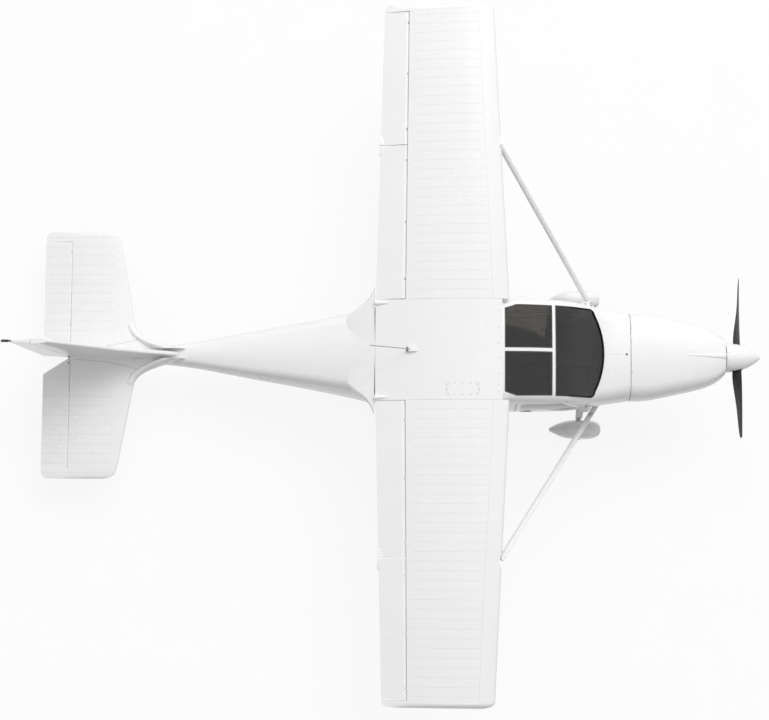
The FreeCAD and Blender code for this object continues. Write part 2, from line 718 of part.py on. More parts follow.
def build_nose(parts):
    outside = body(COWL_SECTIONS, 0, FIT, 0)
    cowl = outside.cut(body(COWL_SECTIONS, COWL_WALL, -2, -COWL_WALL))
    cowl = cowl.cut(cylinder(72, (NOSE_X - 40, 0, 0), (NOSE_X + 20, 0, 0)))
    scoops = []
    for side in (1, -1):
        wire = rounded_outline(
            [(side * 178, -62), (side * 232, -62), (side * 232, 46), (side * 178, 46)],
            [20] * 4,
            lambda p: V(NOSE_X - 130, p.x, p.y),
        )
        scoops.append(Part.Face(wire).extrude(V(160, 0, 0)))
    chin = box(NOSE_X - 90, NOSE_X + 20, -95, 95, -196, -134)
    outlet = box(FIREWALL_X + 20, FIREWALL_X + 150, -150, 150, -420, -300)
    exhaust_hole = cylinder(34, (1700, 120, -260), (1660, 120, -420))
    cowl = cowl.fuse(cowl_ridge(outside).cut(body(COWL_SECTIONS, COWL_WALL / 2, -2, 0)))
    upper = cowl.common(box(1300, 2450, -600, 600, COWL_SPLIT_Z + 0.5, 600))
    lower = cowl.common(box(1300, 2450, -600, 600, -600, COWL_SPLIT_Z - 0.5))
    parts["cowling_upper"] = upper.cut(scoops)
    parts["cowling_lower"] = lower.cut(scoops + [chin, outlet, exhaust_hole])

    block = box(1500, 2080, -265, 265, -225, 150)
    gearbox = cylinder(88, (2080, 0, 0), (2375, 0, 0))
    bore = cylinder(SHAFT_RADIUS + PIN_FIT, (2300, 0, 0), (2376, 0, 0))
    parts["engine_block"] = block.fuse(gearbox).cut(bore)
    tubes = []
    for y in (-1, 1):
        for z in (-1, 1):
            tubes.append(cylinder(12, (1330, 300 * y, 190 * z), (1510, 200 * y, 110 * z - 30)))
    ring = [
        cylinder(9, (1420, -250, 155 * 1 - 13), (1420, 250, 155 * 1 - 13)),
        cylinder(9, (1420, -250, -155 - 15), (1420, 250, -155 - 15)),
    ]
    mount = tubes[0].fuse(tubes[1:] + ring)
    ties = [cylinder(9, (1420, y, -170), (1420, y, 142)) for y in (-250, 250)]
    mount = mount.fuse(ties).common(box(FIREWALL_X + FIT, 1500 - FIT, -500, 500, -400, 400))
    parts["engine_mount"] = mount
    pipe = cylinder(24, (1700, 120, -225 - FIT), (1660, 120, -450))
    pipe = pipe.cut(cylinder(21, (1690, 120, -265), (1655, 120, -478)))
    pipe = pipe.cut(box(1500, 1900, 0, 300, -225 - FIT, 0))
    parts["exhaust_pipe"] = pipe


def blade_wire(radius, chord, pitch, thickness, front_x, side):
    """Thin section of a blade at the given radius, its forward edge at front_x."""
    a = math.radians(pitch)
    depth = chord * math.sin(a)

    def at(along, across):
        x = front_x - depth * (along + 0.5) + across * math.cos(a)
        z = chord * math.cos(a) * along + across * math.sin(a)
        return V(x, side * radius, side * z)

    edge = 0.12 * thickness
    return Part.Wire(
        [
            Part.Arc(at(-0.5, edge), at(-0.08, thickness * 0.72), at(0.5, edge)).toShape(),
            Part.makeLine(at(0.5, edge), at(0.5, -edge)),
            Part.Arc(at(0.5, -edge), at(-0.08, -thickness * 0.28), at(-0.5, -edge)).toShape(),
            Part.makeLine(at(-0.5, -edge), at(-0.5, edge)),
        ]
    )


# radius, chord, pitch, thickness
BLADE_SECTIONS = [(40, 70, 62, 40), (150, 112, 50, 26), (330, 130, 34, 16), (620, 104, 21, 9), (865, 58, 14, 4)]
BLADE_FRONT_X = 2592.0


def build_propeller(parts):
    hub_x = SPINNER_X + SPINNER_PLATE
    hub = cylinder(52, (hub_x + FIT, 0, 0), (hub_x + 165, 0, 0))
    blades = []
    for side in (1, -1):
        rows = [row for row in BLADE_SECTIONS]
        scale = PROP_RADIUS / BLADE_SECTIONS[-1][0]
        wires = [blade_wire(r * scale, c, p, t, BLADE_FRONT_X, side) for r, c, p, t in rows]
        blades.append(loft(wires))
    shaft = cylinder(SHAFT_RADIUS, (2310, 0, 0), (hub_x + 20, 0, 0))
    parts["propeller"] = hub.fuse(blades + [shaft])

    def ogive(base, length, radius, nose):
        """Solid of revolution: straight skirt, a long arc tangent to it, and a round nose tangent to that."""
        start, centre = base + 20, base + length - nose
        reach = centre - start
        big = (reach**2 + radius**2 - nose**2) / (2 * (radius - nose))
        ux, uy = reach / (big - nose), (big - radius) / (big - nose)
        half = math.atan2(ux, uy) / 2
        flat = 1.2 / nose
        turn = (math.pi / 2 - 2 * half + flat) / 2

        def at(x, y):
            return V(x, y, 0)

        meet = at(centre + nose * ux, nose * uy)
        along = at(start + big * math.sin(half), radius - big * (1 - math.cos(half)))
        front = at(centre + nose * math.cos(turn), nose * math.sin(turn))
        tip = at(centre + nose * math.cos(flat), nose * math.sin(flat))
        edges = [
            Part.makeLine(at(base, 0), at(base, radius)),
            Part.makeLine(at(base, radius), at(start, radius)),
            Part.Arc(at(start, radius), along, meet).toShape(),
            Part.Arc(meet, front, tip).toShape(),
            Part.makeLine(tip, at(tip.x, 0)),
            Part.makeLine(at(tip.x, 0), at(base, 0)),
        ]
        return Part.Face(Part.Wire(edges)).revolve(V(0, 0, 0), V(1, 0, 0), 360)

    outer = ogive(SPINNER_X, SPINNER_LENGTH, SPINNER_RADIUS, 38)
    inner = ogive(hub_x, SPINNER_LENGTH - SPINNER_PLATE - 4, SPINNER_RADIUS - 3, 35)
    slots = []
    for side in (1, -1):
        y0, y1 = sorted([side * 70, side * 200])
        slots.append(box(BLADE_FRONT_X - 108, BLADE_FRONT_X + 12, y0, y1, -58, 58))
    shaft_hole = cylinder(SHAFT_RADIUS + FIT, (SPINNER_X - 5, 0, 0), (hub_x + 1, 0, 0))
    parts["spinner"] = outer.cut(inner).cut(slots + [shaft_hole])


# ---------------------------------------------------------------- tie-down lugs
LUG_HOLE_RADIUS = 6.5
LUG_THICKNESS = 8.0
WING_LUG = (-150.0, 2240.0)
TAIL_LUG_X = -3900.0
TAIL_LUG_Z = 12.0


def lug(x, y, root_z, drop):
    """Plate with a cross hole, hanging below root_z."""
    z = root_z - drop
    half = LUG_THICKNESS / 2
    plate = box(x - 17, x + 17, y - half, y + half, z, root_z + 25)
    plate = plate.fuse(cylinder(17, (x, y - half, z), (x, y + half, z)))
    return plate.cut(cylinder(LUG_HOLE_RADIUS, (x, y - half - 1, z), (x, y + half + 1, z)))


def wing_lug_z():
    return wing_point((0.1, LOWER[1][1]), WING_LUG[1]).z - 26


# ---------------------------------------------------------------- wing
FLAP_HINGES = [760, 1380, 2050]
AILERON_HINGES = [2390, 3000, 3560]
STRUT_FAIRING_Y = 2240.0
ROOT_CONE_RADIUS = 28.0
ROOT_CONE_LENGTH = 235.0
ROOT_CONE_NOSE = 3.0         # radius of its front end
ROOT_CONE_SINK = 14.0        # depth of the front end inside the skin
ROOT_CONE_LIFT = 6.0         # height of the rear end above the trailing edge
STRUT_TOP = (-70.0, 2180.0, 790.0)
STRUT_FOOT = (985.0, 560.0, -262.0)
STRUT_CHORD = 62.0
STRUT_THICKNESS = 27.0


def surface_hinges(stations, side, arm_half, reach):
    hinges = []
    for y in stations:
        along = wing_axis(side * (y + 100)) - wing_axis(side * y)
        hinges.append(SurfaceHinge(wing_axis(side * y), along, V(1, 0, 0), arm_half, reach))
    return hinges


def strut_top_fairing(side):
    """Bulge round the leading edge above the strut."""
    nose = wing_point((0, 0), side * STRUT_FAIRING_Y)
    return ellipsoid((nose.x - 20, nose.y, nose.z), 60, 92, 40)


def bracket_fairing(side, y0, y1):
    """The share between y0 and y1 of the oval over the joint between flap and aileron."""
    tail = wing_point((1, 0), side * FLAP_END_Y)
    y0, y1 = sorted([side * y0, side * y1])
    oval = ellipsoid((tail.x + 6, tail.y, tail.z), 62, 118, 18)
    return oval.common(box(tail.x - 14, tail.x + 90, y0, y1, tail.z - 60, tail.z + 60))


def root_cone(side):
    """Slim fairing along the end of the flap: a cone that rises out of the top skin, with a round tail."""
    y = side * (WING_ROOT_Y - ROOT_CONE_RADIUS - 4)
    front, rear = wing_point(UPPER[3], y), wing_point((1, 0), y)
    start = rear + (front - rear) * (ROOT_CONE_LENGTH / (front - rear).Length) - V(0, 0, ROOT_CONE_SINK)
    end = rear + V(0, 0, ROOT_CONE_LIFT)
    length = (end - start).Length
    nose, r = ROOT_CONE_NOSE, ROOT_CONE_RADIUS
    outline = Part.Wire(
        [
            Part.makeLine(V(-length, 0, 0), V(-length, nose, 0)),
            Part.makeLine(V(-length, nose, 0), V(0, r, 0)),
            Part.Arc(V(0, r, 0), V(r * 0.42, r * 0.7, 0), V(r * 0.6, 0, 0)).toShape(),
            Part.makeLine(V(r * 0.6, 0, 0), V(-length, 0, 0)),
        ]
    )
    cone = Part.Face(outline).revolve(V(0, 0, 0), V(1, 0, 0), 360)
    cone.Placement = FreeCAD.Placement(end, FreeCAD.Rotation(V(1, 0, 0), end - start))
    return cone


def build_wing(parts):
    gap = END_GAP
    middle = center_section(WING_ROOT_Y - FIT)
    parts["wing_center_section"] = middle.fuse([root_cone(side) for side in (1, -1)])
    tips = []
    for side, name in ((1, "left"), (-1, "right")):
        panel = wing_loft(side * WING_ROOT_Y, side * WING_TIP_Y, "front")
        flap = wing_loft(side * (WING_ROOT_Y + gap), side * (FLAP_END_Y - gap / 2), "rear")
        aileron = wing_loft(side * (FLAP_END_Y + gap / 2), side * (WING_TIP_Y - gap), "rear")
        panel, flap = fit_hinges(panel, flap, surface_hinges(FLAP_HINGES, side, 10, 62))
        panel, aileron = fit_hinges(panel, aileron, surface_hinges(AILERON_HINGES, side, 10, 58))
        lug_x, lug_y = WING_LUG
        tie = lug(lug_x, side * lug_y, wing_lug_z() + 26, 26)
        parts["wing_" + name] = panel.fuse([tie, strut_top_fairing(side)])
        joint = FLAP_END_Y - gap / 2, FLAP_END_Y + gap / 2
        parts["flap_" + name] = flap.fuse(bracket_fairing(side, joint[0] - 200, joint[0]))
        parts["aileron_" + name] = aileron.fuse(bracket_fairing(side, joint[1], joint[1] + 200))
        tips.append(tip_cap(side))
    parts["wing_tips"] = Part.makeCompound(tips)


# distance out from the joint, part of the chord cut from the nose, and from the tail, thickness share
TIP_SECTIONS = [(0, 0, 0, 1.0), (38, 0.018, 0.006, 0.93), (60, 0.055, 0.02, 0.66), (72, 0.12, 0.05, 0.22)]


def tip_cap(side):
    wires = []
    chord, le_x, _ = wing_place(WING_TIP_Y)
    for out, nose, tail, thick in TIP_SECTIONS:
        y = WING_TIP_Y + FIT + out
        profile = Profile(*wing_sides(thick), WING_AXIS, WING_NOSE)
        station = (chord * (1 - nose - tail), le_x - chord * nose, wing_place(y)[2] + 10 * (1 - thick))
        wires.append(profile.full(lambda p: wing_point(p, side * y, station)))
    return loft(wires)


def strut_wire(centre, axis, chord_dir):
    """Streamlined tube section across the strut's axis: round nose, two long arcs to the tail."""
    across = axis.cross(chord_dir)
    across.normalize()
    along = across.cross(axis)
    along.normalize()
    half = STRUT_THICKNESS / 2

    def at(a, b):
        return centre + along * (a * STRUT_CHORD) + across * b

    return Part.Wire(
        [
            Part.Arc(at(0.40, half * 0.72), at(0.5, 0), at(0.40, -half * 0.72)).toShape(),
            Part.Arc(at(0.40, -half * 0.72), at(0.12, -half), at(-0.47, -half * 0.16)).toShape(),
            Part.makeLine(at(-0.47, -half * 0.16), at(-0.47, half * 0.16)),
            Part.Arc(at(-0.47, half * 0.16), at(0.12, half), at(0.40, half * 0.72)).toShape(),
        ]
    )


def build_struts(parts, wing_solid, cabin_solid):
    top, foot = V(*STRUT_TOP), V(*STRUT_FOOT)
    axis = top - foot
    axis.normalize()
    wires = [strut_wire(p, axis, V(1, 0, 0)) for p in (foot - axis * 130, top + axis * 60)]
    strut = loft(wires, True).cut([wing_solid, cabin_solid])
    strut = max(strut.Solids, key=lambda s: s.Volume)
    parts["wing_strut_left"] = strut
    parts["wing_strut_right"] = mirrored(strut)


# ---------------------------------------------------------------- tail
ELEVATOR_END_Y = 1262.0
ELEVATOR_TUBE_RADIUS = 11.0
# distance out from the elevator's end, shortening at the nose and the tail, thickness share
TAIL_TIP_SECTIONS = [(0, 0, 0, 1.0), (62, 14, 8, 0.94), (92, 50, 26, 0.74), (112, 120, 60, 0.3)]
ELEVATOR_HINGES = [330, 1150]
RUDDER_HINGES = [520, FIN_TOP_Z - 210]


# y, how far the fillet in front of the stabilizer leads its leading edge
TAIL_FILLET = [(55, 560), (85, 415), (120, 290), (165, 170), (215, 75), (265, 25), (330, 2)]


def tail_fillet(side, grow=0.0):
    """Concave fillet between the sides of the tail cone and the stabilizer's leading edge."""
    wires = []
    for y, lead in TAIL_FILLET:
        _, le, half, _ = interpolate(TAILPLANE_SECTIONS, y)
        nose, back = le + lead + grow, le - 190
        height = half * (0.82 - 0.42 * (y / TAIL_FILLET[-1][0]) ** 2) + grow

        def at(x, z):
            return V(x, side * y, TAILPLANE_Z + z)

        reach = nose - back
        edges = [
            Part.Arc(at(back + reach * 0.55, height), at(nose, 0), at(back + reach * 0.55, -height)).toShape(),
            Part.makeLine(at(back + reach * 0.55, -height), at(back, -height)),
            Part.makeLine(at(back, -height), at(back, height)),
            Part.makeLine(at(back, height), at(back + reach * 0.55, height)),
        ]
        wires.append(Part.Wire(edges))
    return loft(wires)


# x, half width, top z, bottom z of the fillets behind the wing's root, from its trailing edge aft
ROOT_FILLET = [
    (CABIN_REAR_X - 3, 690, 771, 704),
    (-1480, 622, 760, 688),
    (-1520, 560, 748, 668),
    (-1570, 512, 732, 645),
    (-1640, 462, 708, 612),
    (-1740, 385, 668, 580),
]


def root_fillet():
    wires = []
    for x, width, top, bottom in ROOT_FILLET:
        middle, half = (top + bottom) / 2, (top - bottom) / 2
        side = width - half
        edges = [
            Part.makeLine(V(x, -side, top), V(x, side, top)),
            Part.Arc(V(x, side, top), V(x, width, middle), V(x, side, bottom)).toShape(),
            Part.makeLine(V(x, side, bottom), V(x, -side, bottom)),
            Part.Arc(V(x, -side, bottom), V(x, -width, middle), V(x, -side, top)).toShape(),
        ]
        wires.append(Part.Wire(edges))
    return loft(wires)


def build_tail(parts, tail_solid):
    sides_front, sides_rear = [], []
    for side in (1, -1):
        sides_front.append(
            loft([tailplane_wire(side * y, "front") for y in (0, 1150, ELEVATOR_END_Y + GAP)], True)
        )
        sides_rear.append(loft([tailplane_wire(side * y, "rear") for y in (34, 1150, ELEVATOR_END_Y)], True))
    stabilizer = sides_front[0].fuse(sides_front[1])
    tips = []
    for side in (1, -1):
        wires = []
        for out, nose, tail, thick in TAIL_TIP_SECTIONS:
            y = ELEVATOR_END_Y + GAP + out
            _, le, half, hinge_half = interpolate(TAILPLANE_SECTIONS, y)
            profile = slab(le - nose, TAIL_TE_X + tail, TAILPLANE_HINGE_X, half * thick, hinge_half * thick)
            wires.append(profile.full(lambda p: V(le - nose - p[0], side * y, TAILPLANE_Z + p[1])))
        tips.append(loft(wires, True))
    tail_cut = body(TAIL_SECTIONS, -FIT, 0, -20)
    fillets = [tail_fillet(side).cut(tail_cut) for side in (1, -1)]
    stabilizer = stabilizer.fuse(tips + fillets)
    halves = []
    for side, half in zip((1, -1), sides_rear):
        corner = [(TAILPLANE_HINGE_X - 8, 0), (TAILPLANE_HINGE_X - 8, 52), (TAIL_TE_X - 20, 235), (TAIL_TE_X - 20, 0)]
        wire = polygon([(x, side * y, TAILPLANE_Z - 60) for x, y in corner])
        root = box(TAILPLANE_HINGE_X - 9, TAILPLANE_HINGE_X + 40, -52, 52, TAILPLANE_Z - 60, TAILPLANE_Z + 60)
        half = half.cut([Part.Face(wire).extrude(V(0, 0, 120)), root])
        hinges = [
            SurfaceHinge(V(TAILPLANE_HINGE_X, side * y, TAILPLANE_Z), V(0, 1, 0), V(1, 0, 0), 7, 42)
            for y in ELEVATOR_HINGES
        ]
        stabilizer, half = fit_hinges(stabilizer, half, hinges)
        halves.append(half)
    parts["elevator_left"], parts["elevator_right"] = halves
    reach = 52 - FIT
    parts["elevator_tube"] = cylinder(
        ELEVATOR_TUBE_RADIUS, (TAILPLANE_HINGE_X, -reach, TAILPLANE_Z), (TAILPLANE_HINGE_X, reach, TAILPLANE_Z)
    )
    parts["horizontal_stabilizer"] = stabilizer

    levels = [row[0] for row in FIN_SECTIONS]
    fin = loft([fin_wire(z, "front") for z in levels], True)
    rudder = loft([fin_wire(z, "rear") for z in levels], True)
    notch = box(-4918, -4780, -80, 80, TAILPLANE_Z - 36, TAILPLANE_Z + 36)
    rudder = rudder.cut(notch)
    hinges = []
    for z in RUDDER_HINGES:
        along = rudder_axis(z + 100) - rudder_axis(z)
        hinges.append(SurfaceHinge(rudder_axis(z), along, V(1, 0, 0), 7, 42))
    fin, rudder = fit_hinges(fin, rudder, hinges)
    plane_cut = [
        loft([tailplane_wire(side * y, "full", FIT) for y in (0, 1150)], True) for side in (1, -1)
    ]
    fin = fin.cut([tail_cut] + plane_cut)
    fin = max(fin.Solids, key=lambda s: s.Volume)
    parts["fin"] = fin
    parts["rudder"] = rudder
    tie = lug(TAIL_LUG_X, 0, TAIL_LUG_Z + 24, 24)
    hollow = body(TAIL_SECTIONS, WALL, 5).common(box(TAIL_BULKHEAD_X, 0, -900, 900, -900, 1200))
    parts["rear_fuselage"] = tail_solid.cut(plane_cut).fuse([tie, root_fillet()]).cut(hollow)
    light = cylinder(14, (-5178, 0, FIN_TOP_Z + FIT + 14), (-5236, 0, FIN_TOP_Z + FIT + 14))
    foot = box(-5195, -5150, -8, 8, FIN_TOP_Z + FIT, FIN_TOP_Z + FIT + 14)
    parts["tail_light"] = light.fuse(foot)


# ---------------------------------------------------------------- undercarriage
# x from the axle, half width, top, bottom and waist from the axle, corner radii, flat angles
FAIRING_ROWS = [
    (250, 30, 78, -18, 30, 24, 24, 25, 25),
    (218, 78, 148, -85, 30, 55, 55, 25, 25),
    (138, 104, 200, -112, 30, 74, 60, 22, 22),
    (0, 110, 214, -116, 30, 80, 60, 22, 22),
    (-172, 92, 188, -104, 35, 68, 55, 22, 22),
    (-272, 54, 125, -68, 35, 42, 40, 25, 25),
    (-342, 18, 68, -12, 32, 14, 14, 25, 25),
]
FAIRING_WHEEL_RADIUS = 185.0  # wheel the rows above are drawn for
FAIRING_WHEEL_WIDTH = 118.0
AXLE_RADIUS = 16.0
RIM_RADIUS = 88.0


def wheel_pair(centre, radius, width, rim_radius, axle_radius):
    """Tyre and rim as solids of revolution about the axle through centre, along y."""
    x, y, z = centre
    half = width / 2

    def turned(edges):
        solid = Part.Face(Part.Wire(edges)).revolve(V(0, 0, 0), V(0, 1, 0), 360)
        solid.translate(V(x, y, z))
        return solid

    def p(r, w):
        return V(r, w, 0)

    bead = rim_radius + FIT
    belt = (rim_radius + radius) / 2
    tyre = turned(
        [
            Part.makeLine(p(bead, half * 0.62), p(bead, -half * 0.62)),
            Part.Arc(p(bead, -half * 0.62), p(belt - 4, -half), p(radius * 0.93, -half * 0.80)).toShape(),
            Part.Arc(p(radius * 0.93, -half * 0.80), p(radius, 0), p(radius * 0.93, half * 0.80)).toShape(),
            Part.Arc(p(radius * 0.93, half * 0.80), p(belt - 4, half), p(bead, half * 0.62)).toShape(),
        ]
    )
    r0, r1, web = axle_radius + PIN_FIT, rim_radius, half * 0.14
    hub = r0 + max(10, rim_radius * 0.14)
    outline = [
        (r0, half * 0.72), (hub, half * 0.72), (hub, web), (r1 - 9, web), (r1 - 9, half * 0.60), (r1, half * 0.60),
        (r1, -half * 0.60), (r1 - 9, -half * 0.60), (r1 - 9, -web), (hub, -web), (hub, -half * 0.72),
        (r0, -half * 0.72),
    ]
    corners = [p(*c) for c in outline]
    rim = turned([Part.makeLine(a, b) for a, b in zip(corners, corners[1:] + corners[:1])])
    return tyre, rim


def fairing_sections():
    """Fairing rows about the axle, scaled to the wheel inside."""
    k = WHEEL_RADIUS / FAIRING_WHEEL_RADIUS
    wider = (WHEEL_WIDTH - FAIRING_WHEEL_WIDTH) / 2
    rows = []
    for x, half, top, bottom, waist, corner_top, corner_bottom, flat_top, flat_bottom in FAIRING_ROWS:
        heights = [WHEEL_Z + k * z for z in (top, bottom, waist)]
        rows.append((WHEEL_X + k * x, half + wider, *heights, corner_top, corner_bottom, flat_top, flat_bottom))
    return rows


def build_main_gear(parts, cabin_solid):
    tyre, rim = wheel_pair((WHEEL_X, WHEEL_Y, WHEEL_Z), WHEEL_RADIUS, WHEEL_WIDTH, RIM_RADIUS, AXLE_RADIUS)
    shift = V(0, WHEEL_Y, 0)
    sections = fairing_sections()
    pod = body(sections)
    hollow = body(sections, 6, -4, 4)
    k = WHEEL_RADIUS / FAIRING_WHEEL_RADIUS
    rear, front = WHEEL_X + k * -207, WHEEL_X + k * 206
    low, high = WHEEL_Z + k * -160, WHEEL_Z + k * -30
    half = WHEEL_WIDTH / 2
    well = box(rear, front, -half - 21, half + 21, low, high)
    pod = pod.cut([hollow.common(box(rear - 15, front + 7, -half - 61, half + 61, low - 40, WHEEL_Z + 300)), well])
    pod.translate(shift)
    inner_face = WHEEL_Y - half - 51
    axle_hole = cylinder(AXLE_RADIUS + FIT, (WHEEL_X, inner_face - 5, WHEEL_Z), (WHEEL_X, WHEEL_Y + 130, WHEEL_Z))
    pod = pod.cut(axle_hole)

    def leg_wire(y, z, chord, thick, turn):
        a = math.radians(turn)
        across = V(0, math.cos(a), math.sin(a)) * thick / 2
        lengthwise = V(chord / 2, 0, 0)
        centre = V(WHEEL_X, y, z)
        round_off = 0.80
        return Part.Wire(
            [
                Part.makeLine(centre + lengthwise * round_off + across, centre - lengthwise * round_off + across),
                Part.Arc(
                    centre - lengthwise * round_off + across,
                    centre - lengthwise,
                    centre - lengthwise * round_off - across,
                ).toShape(),
                Part.makeLine(centre - lengthwise * round_off - across, centre + lengthwise * round_off - across),
                Part.Arc(
                    centre + lengthwise * round_off - across, centre + lengthwise, centre + lengthwise * round_off + across
                ).toShape(),
            ]
        )

    leg = loft(
        [
            leg_wire(330, -380, 110, 26, 40),
            leg_wire(500, -600, 96, 23, 36),
            leg_wire(inner_face - 32, -790, 80, 20, 26),
            leg_wire(inner_face - 14, WHEEL_Z - 34, 64, 22, 0),
        ],
        True,
    )
    leg = leg.cut(cabin_solid)
    leg = max(leg.Solids, key=lambda s: s.Volume)
    axle = cylinder(AXLE_RADIUS, (WHEEL_X, inner_face - 20, WHEEL_Z), (WHEEL_X, WHEEL_Y + 106, WHEEL_Z))
    leg = leg.fuse(axle).cut(box(600, 1100, inner_face - FIT, inner_face + 300, -2000, WHEEL_Z - 17)).removeSplitter()
    for name, turn in (("left", lambda s: s), ("right", mirrored)):
        parts["main_tyre_" + name] = turn(tyre)
        parts["main_rim_" + name] = turn(rim)
        parts["wheel_fairing_" + name] = turn(pod)
        parts["gear_leg_" + name] = turn(leg)


def build_tailwheel(parts, tail_solid_grown):
    x, z, r = TAILWHEEL_X, TAILWHEEL_Z, TAILWHEEL_RADIUS
    half = TAILWHEEL_WIDTH / 2
    tyre, rim = wheel_pair((x, 0, z), r, TAILWHEEL_WIDTH, 40, 10)
    parts["tailwheel"] = Part.makeCompound([tyre, rim])
    pivot_x = x + TAILWHEEL_TRAIL
    fork_low = z + r + TAILWHEEL_GAP
    low = fork_low + 16
    top = low + 46
    spring = side_prism(
        [(-4210, 96), (-4210, 70), (-4400, 52), (pivot_x, low + 10), (pivot_x, top - 4), (-4400, 78)],
        [3, 3, 60, 3, 3, 60],
        -32,
        32,
    )
    housing = cylinder(22, (pivot_x, 0, low), (pivot_x, 0, top))
    spring = spring.fuse(housing).cut(cylinder(12 + PIN_FIT, (pivot_x, 0, low - 5), (pivot_x, 0, top + 5)))
    foot = box(-4330, -4180, -32, 32, 60, 160)
    spring = spring.fuse(foot).cut(tail_solid_grown)
    parts["tailwheel_spring"] = max(spring.Solids, key=lambda s: s.Volume)
    stem = cylinder(12, (pivot_x, 0, low - 8), (pivot_x, 0, top + 6))
    cap = cylinder(18, (pivot_x, 0, top + 5.5), (pivot_x, 0, top + 14))
    crown = box(pivot_x - 26, pivot_x + 26, -half - 21, half + 21, fork_low, low - 5.5)
    cheeks = []
    for side in (1, -1):
        y0, y1 = sorted([side * (half + 9), side * (half + 21)])
        cheek = side_prism(
            [(pivot_x + 26, low - 6), (pivot_x - 26, low - 6), (x - 20, z - 14), (x + 20, z - 14)],
            [4, 4, 14, 14], y0, y1,
        )
        cheeks.append(cheek)
    axle = cylinder(10, (x, -half - 20, z), (x, half + 20, z))
    parts["tailwheel_fork"] = crown.fuse([stem, cap, axle] + cheeks)


# ---------------------------------------------------------------- small fixed pieces
def build_antenna(parts):
    place = wing_point((0.715, 0), 0)
    surface = place.z + WING.height(UPPER, WING.up_heads, 0.715) * ROOT_CHORD
    pod = side_prism(
        [(place.x + 80, surface - 8), (place.x + 20, surface + 26), (place.x - 60, surface + 26), (place.x - 80, surface - 12)],
        [10, 22, 12, 3], -24, 24,
    )
    pod = pod.cut(wing_loft(-200, 200, "full", FIT))
    pod = max(pod.Solids, key=lambda s: s.Volume)
    rod = cylinder(4, (place.x - 30, 0, surface + 20), (place.x - 445, 0, surface + 385))
    parts["whip_antenna"] = pod.fuse(rod)


# ---------------------------------------------------------------- placing on the ground
def parking_angle():
    """Angle that brings the lowest points of main wheels and tailwheel to one level."""
    dx, dz = WHEEL_X - TAILWHEEL_X, WHEEL_Z - TAILWHEEL_Z
    span = math.hypot(dx, dz)
    return math.degrees(math.asin((WHEEL_RADIUS - TAILWHEEL_RADIUS) / span) + math.atan2(-dz, dx))


def park(shape, shift):
    placed = shape.copy()
    placed.rotate(V(0, 0, 0), V(0, 1, 0), -parking_angle())
    placed.translate(shift)
    return placed


def main():
    parts = {}
    wing_cut = center_section(WING_ROOT_Y, FIT).fuse(
        [wing_loft(WING_ROOT_Y - FIT, 760, "full", FIT), wing_loft(-760, FIT - WING_ROOT_Y, "full", FIT)]
    )
    cabin_grown = body(CABIN_SECTIONS, -FIT, 0, 0)
    tail_solid = body(TAIL_SECTIONS)
    build_cabin(parts, wing_cut)
    build_interior(parts)
    parts["rear_bulkhead"] = parts["rear_bulkhead"].cut(wing_cut)
    build_nose(parts)
    build_propeller(parts)
    build_wing(parts)
    build_struts(parts, wing_loft(0, WING_TIP_Y, "full", FIT), cabin_grown)
    build_tail(parts, tail_solid.cut(wing_cut))
    build_main_gear(parts, cabin_grown)
    build_tailwheel(parts, body(TAIL_SECTIONS, -FIT, 0, 0))
    build_antenna(parts)

    low = -(WHEEL_Z * math.cos(math.radians(parking_angle())) + WHEEL_X * math.sin(math.radians(parking_angle())))
    lift = low + WHEEL_RADIUS
    placed = {name: park(shape, V(0, 0, lift)) for name, shape in parts.items()}
    x_min = min(s.BoundBox.XMin for s in placed.values())
    x_max = max(s.BoundBox.XMax for s in placed.values())
    os.makedirs("parts", exist_ok=True)
    for name, shape in placed.items():
        shape.translate(V(-(x_min + x_max) / 2, 0, 0))
        shape.exportStep("parts/" + name + ".step")
    print("parking angle", parking_angle(), "shift", -(x_min + x_max) / 2, lift)
    return placed


if __name__ == "__main__":
    main()
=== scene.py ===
"""Looks of a two-seat microlight aircraft: materials, small fittings, soft seats, light and camera.

Small pieces are placed in the airframe's level frame, in metres: x forward from the wing's leading edge,
y to the left, z up from the thrust line. LEVEL turns that frame into the row frame, in which the aircraft
stands nose up on its wheels.
"""

import json
import math

import bmesh
import bpy
from mathutils import Matrix, Vector
from mathutils.bvhtree import BVHTree


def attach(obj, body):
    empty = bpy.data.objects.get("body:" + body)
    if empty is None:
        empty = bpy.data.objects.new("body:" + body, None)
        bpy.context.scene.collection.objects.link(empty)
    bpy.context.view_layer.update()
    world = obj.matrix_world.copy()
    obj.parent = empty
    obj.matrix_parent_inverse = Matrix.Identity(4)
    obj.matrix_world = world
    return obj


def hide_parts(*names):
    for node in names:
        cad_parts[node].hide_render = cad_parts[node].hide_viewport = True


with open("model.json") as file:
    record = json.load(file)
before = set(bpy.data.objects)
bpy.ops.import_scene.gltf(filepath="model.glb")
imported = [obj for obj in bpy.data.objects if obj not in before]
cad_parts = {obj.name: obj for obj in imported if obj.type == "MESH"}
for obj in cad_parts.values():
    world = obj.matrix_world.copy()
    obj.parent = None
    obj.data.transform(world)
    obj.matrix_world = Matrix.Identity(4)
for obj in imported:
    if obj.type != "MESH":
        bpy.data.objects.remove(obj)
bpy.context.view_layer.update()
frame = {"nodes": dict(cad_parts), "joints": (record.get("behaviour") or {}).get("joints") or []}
nodes = frame["nodes"]
joints = {j["name"]: j for j in frame["joints"]}

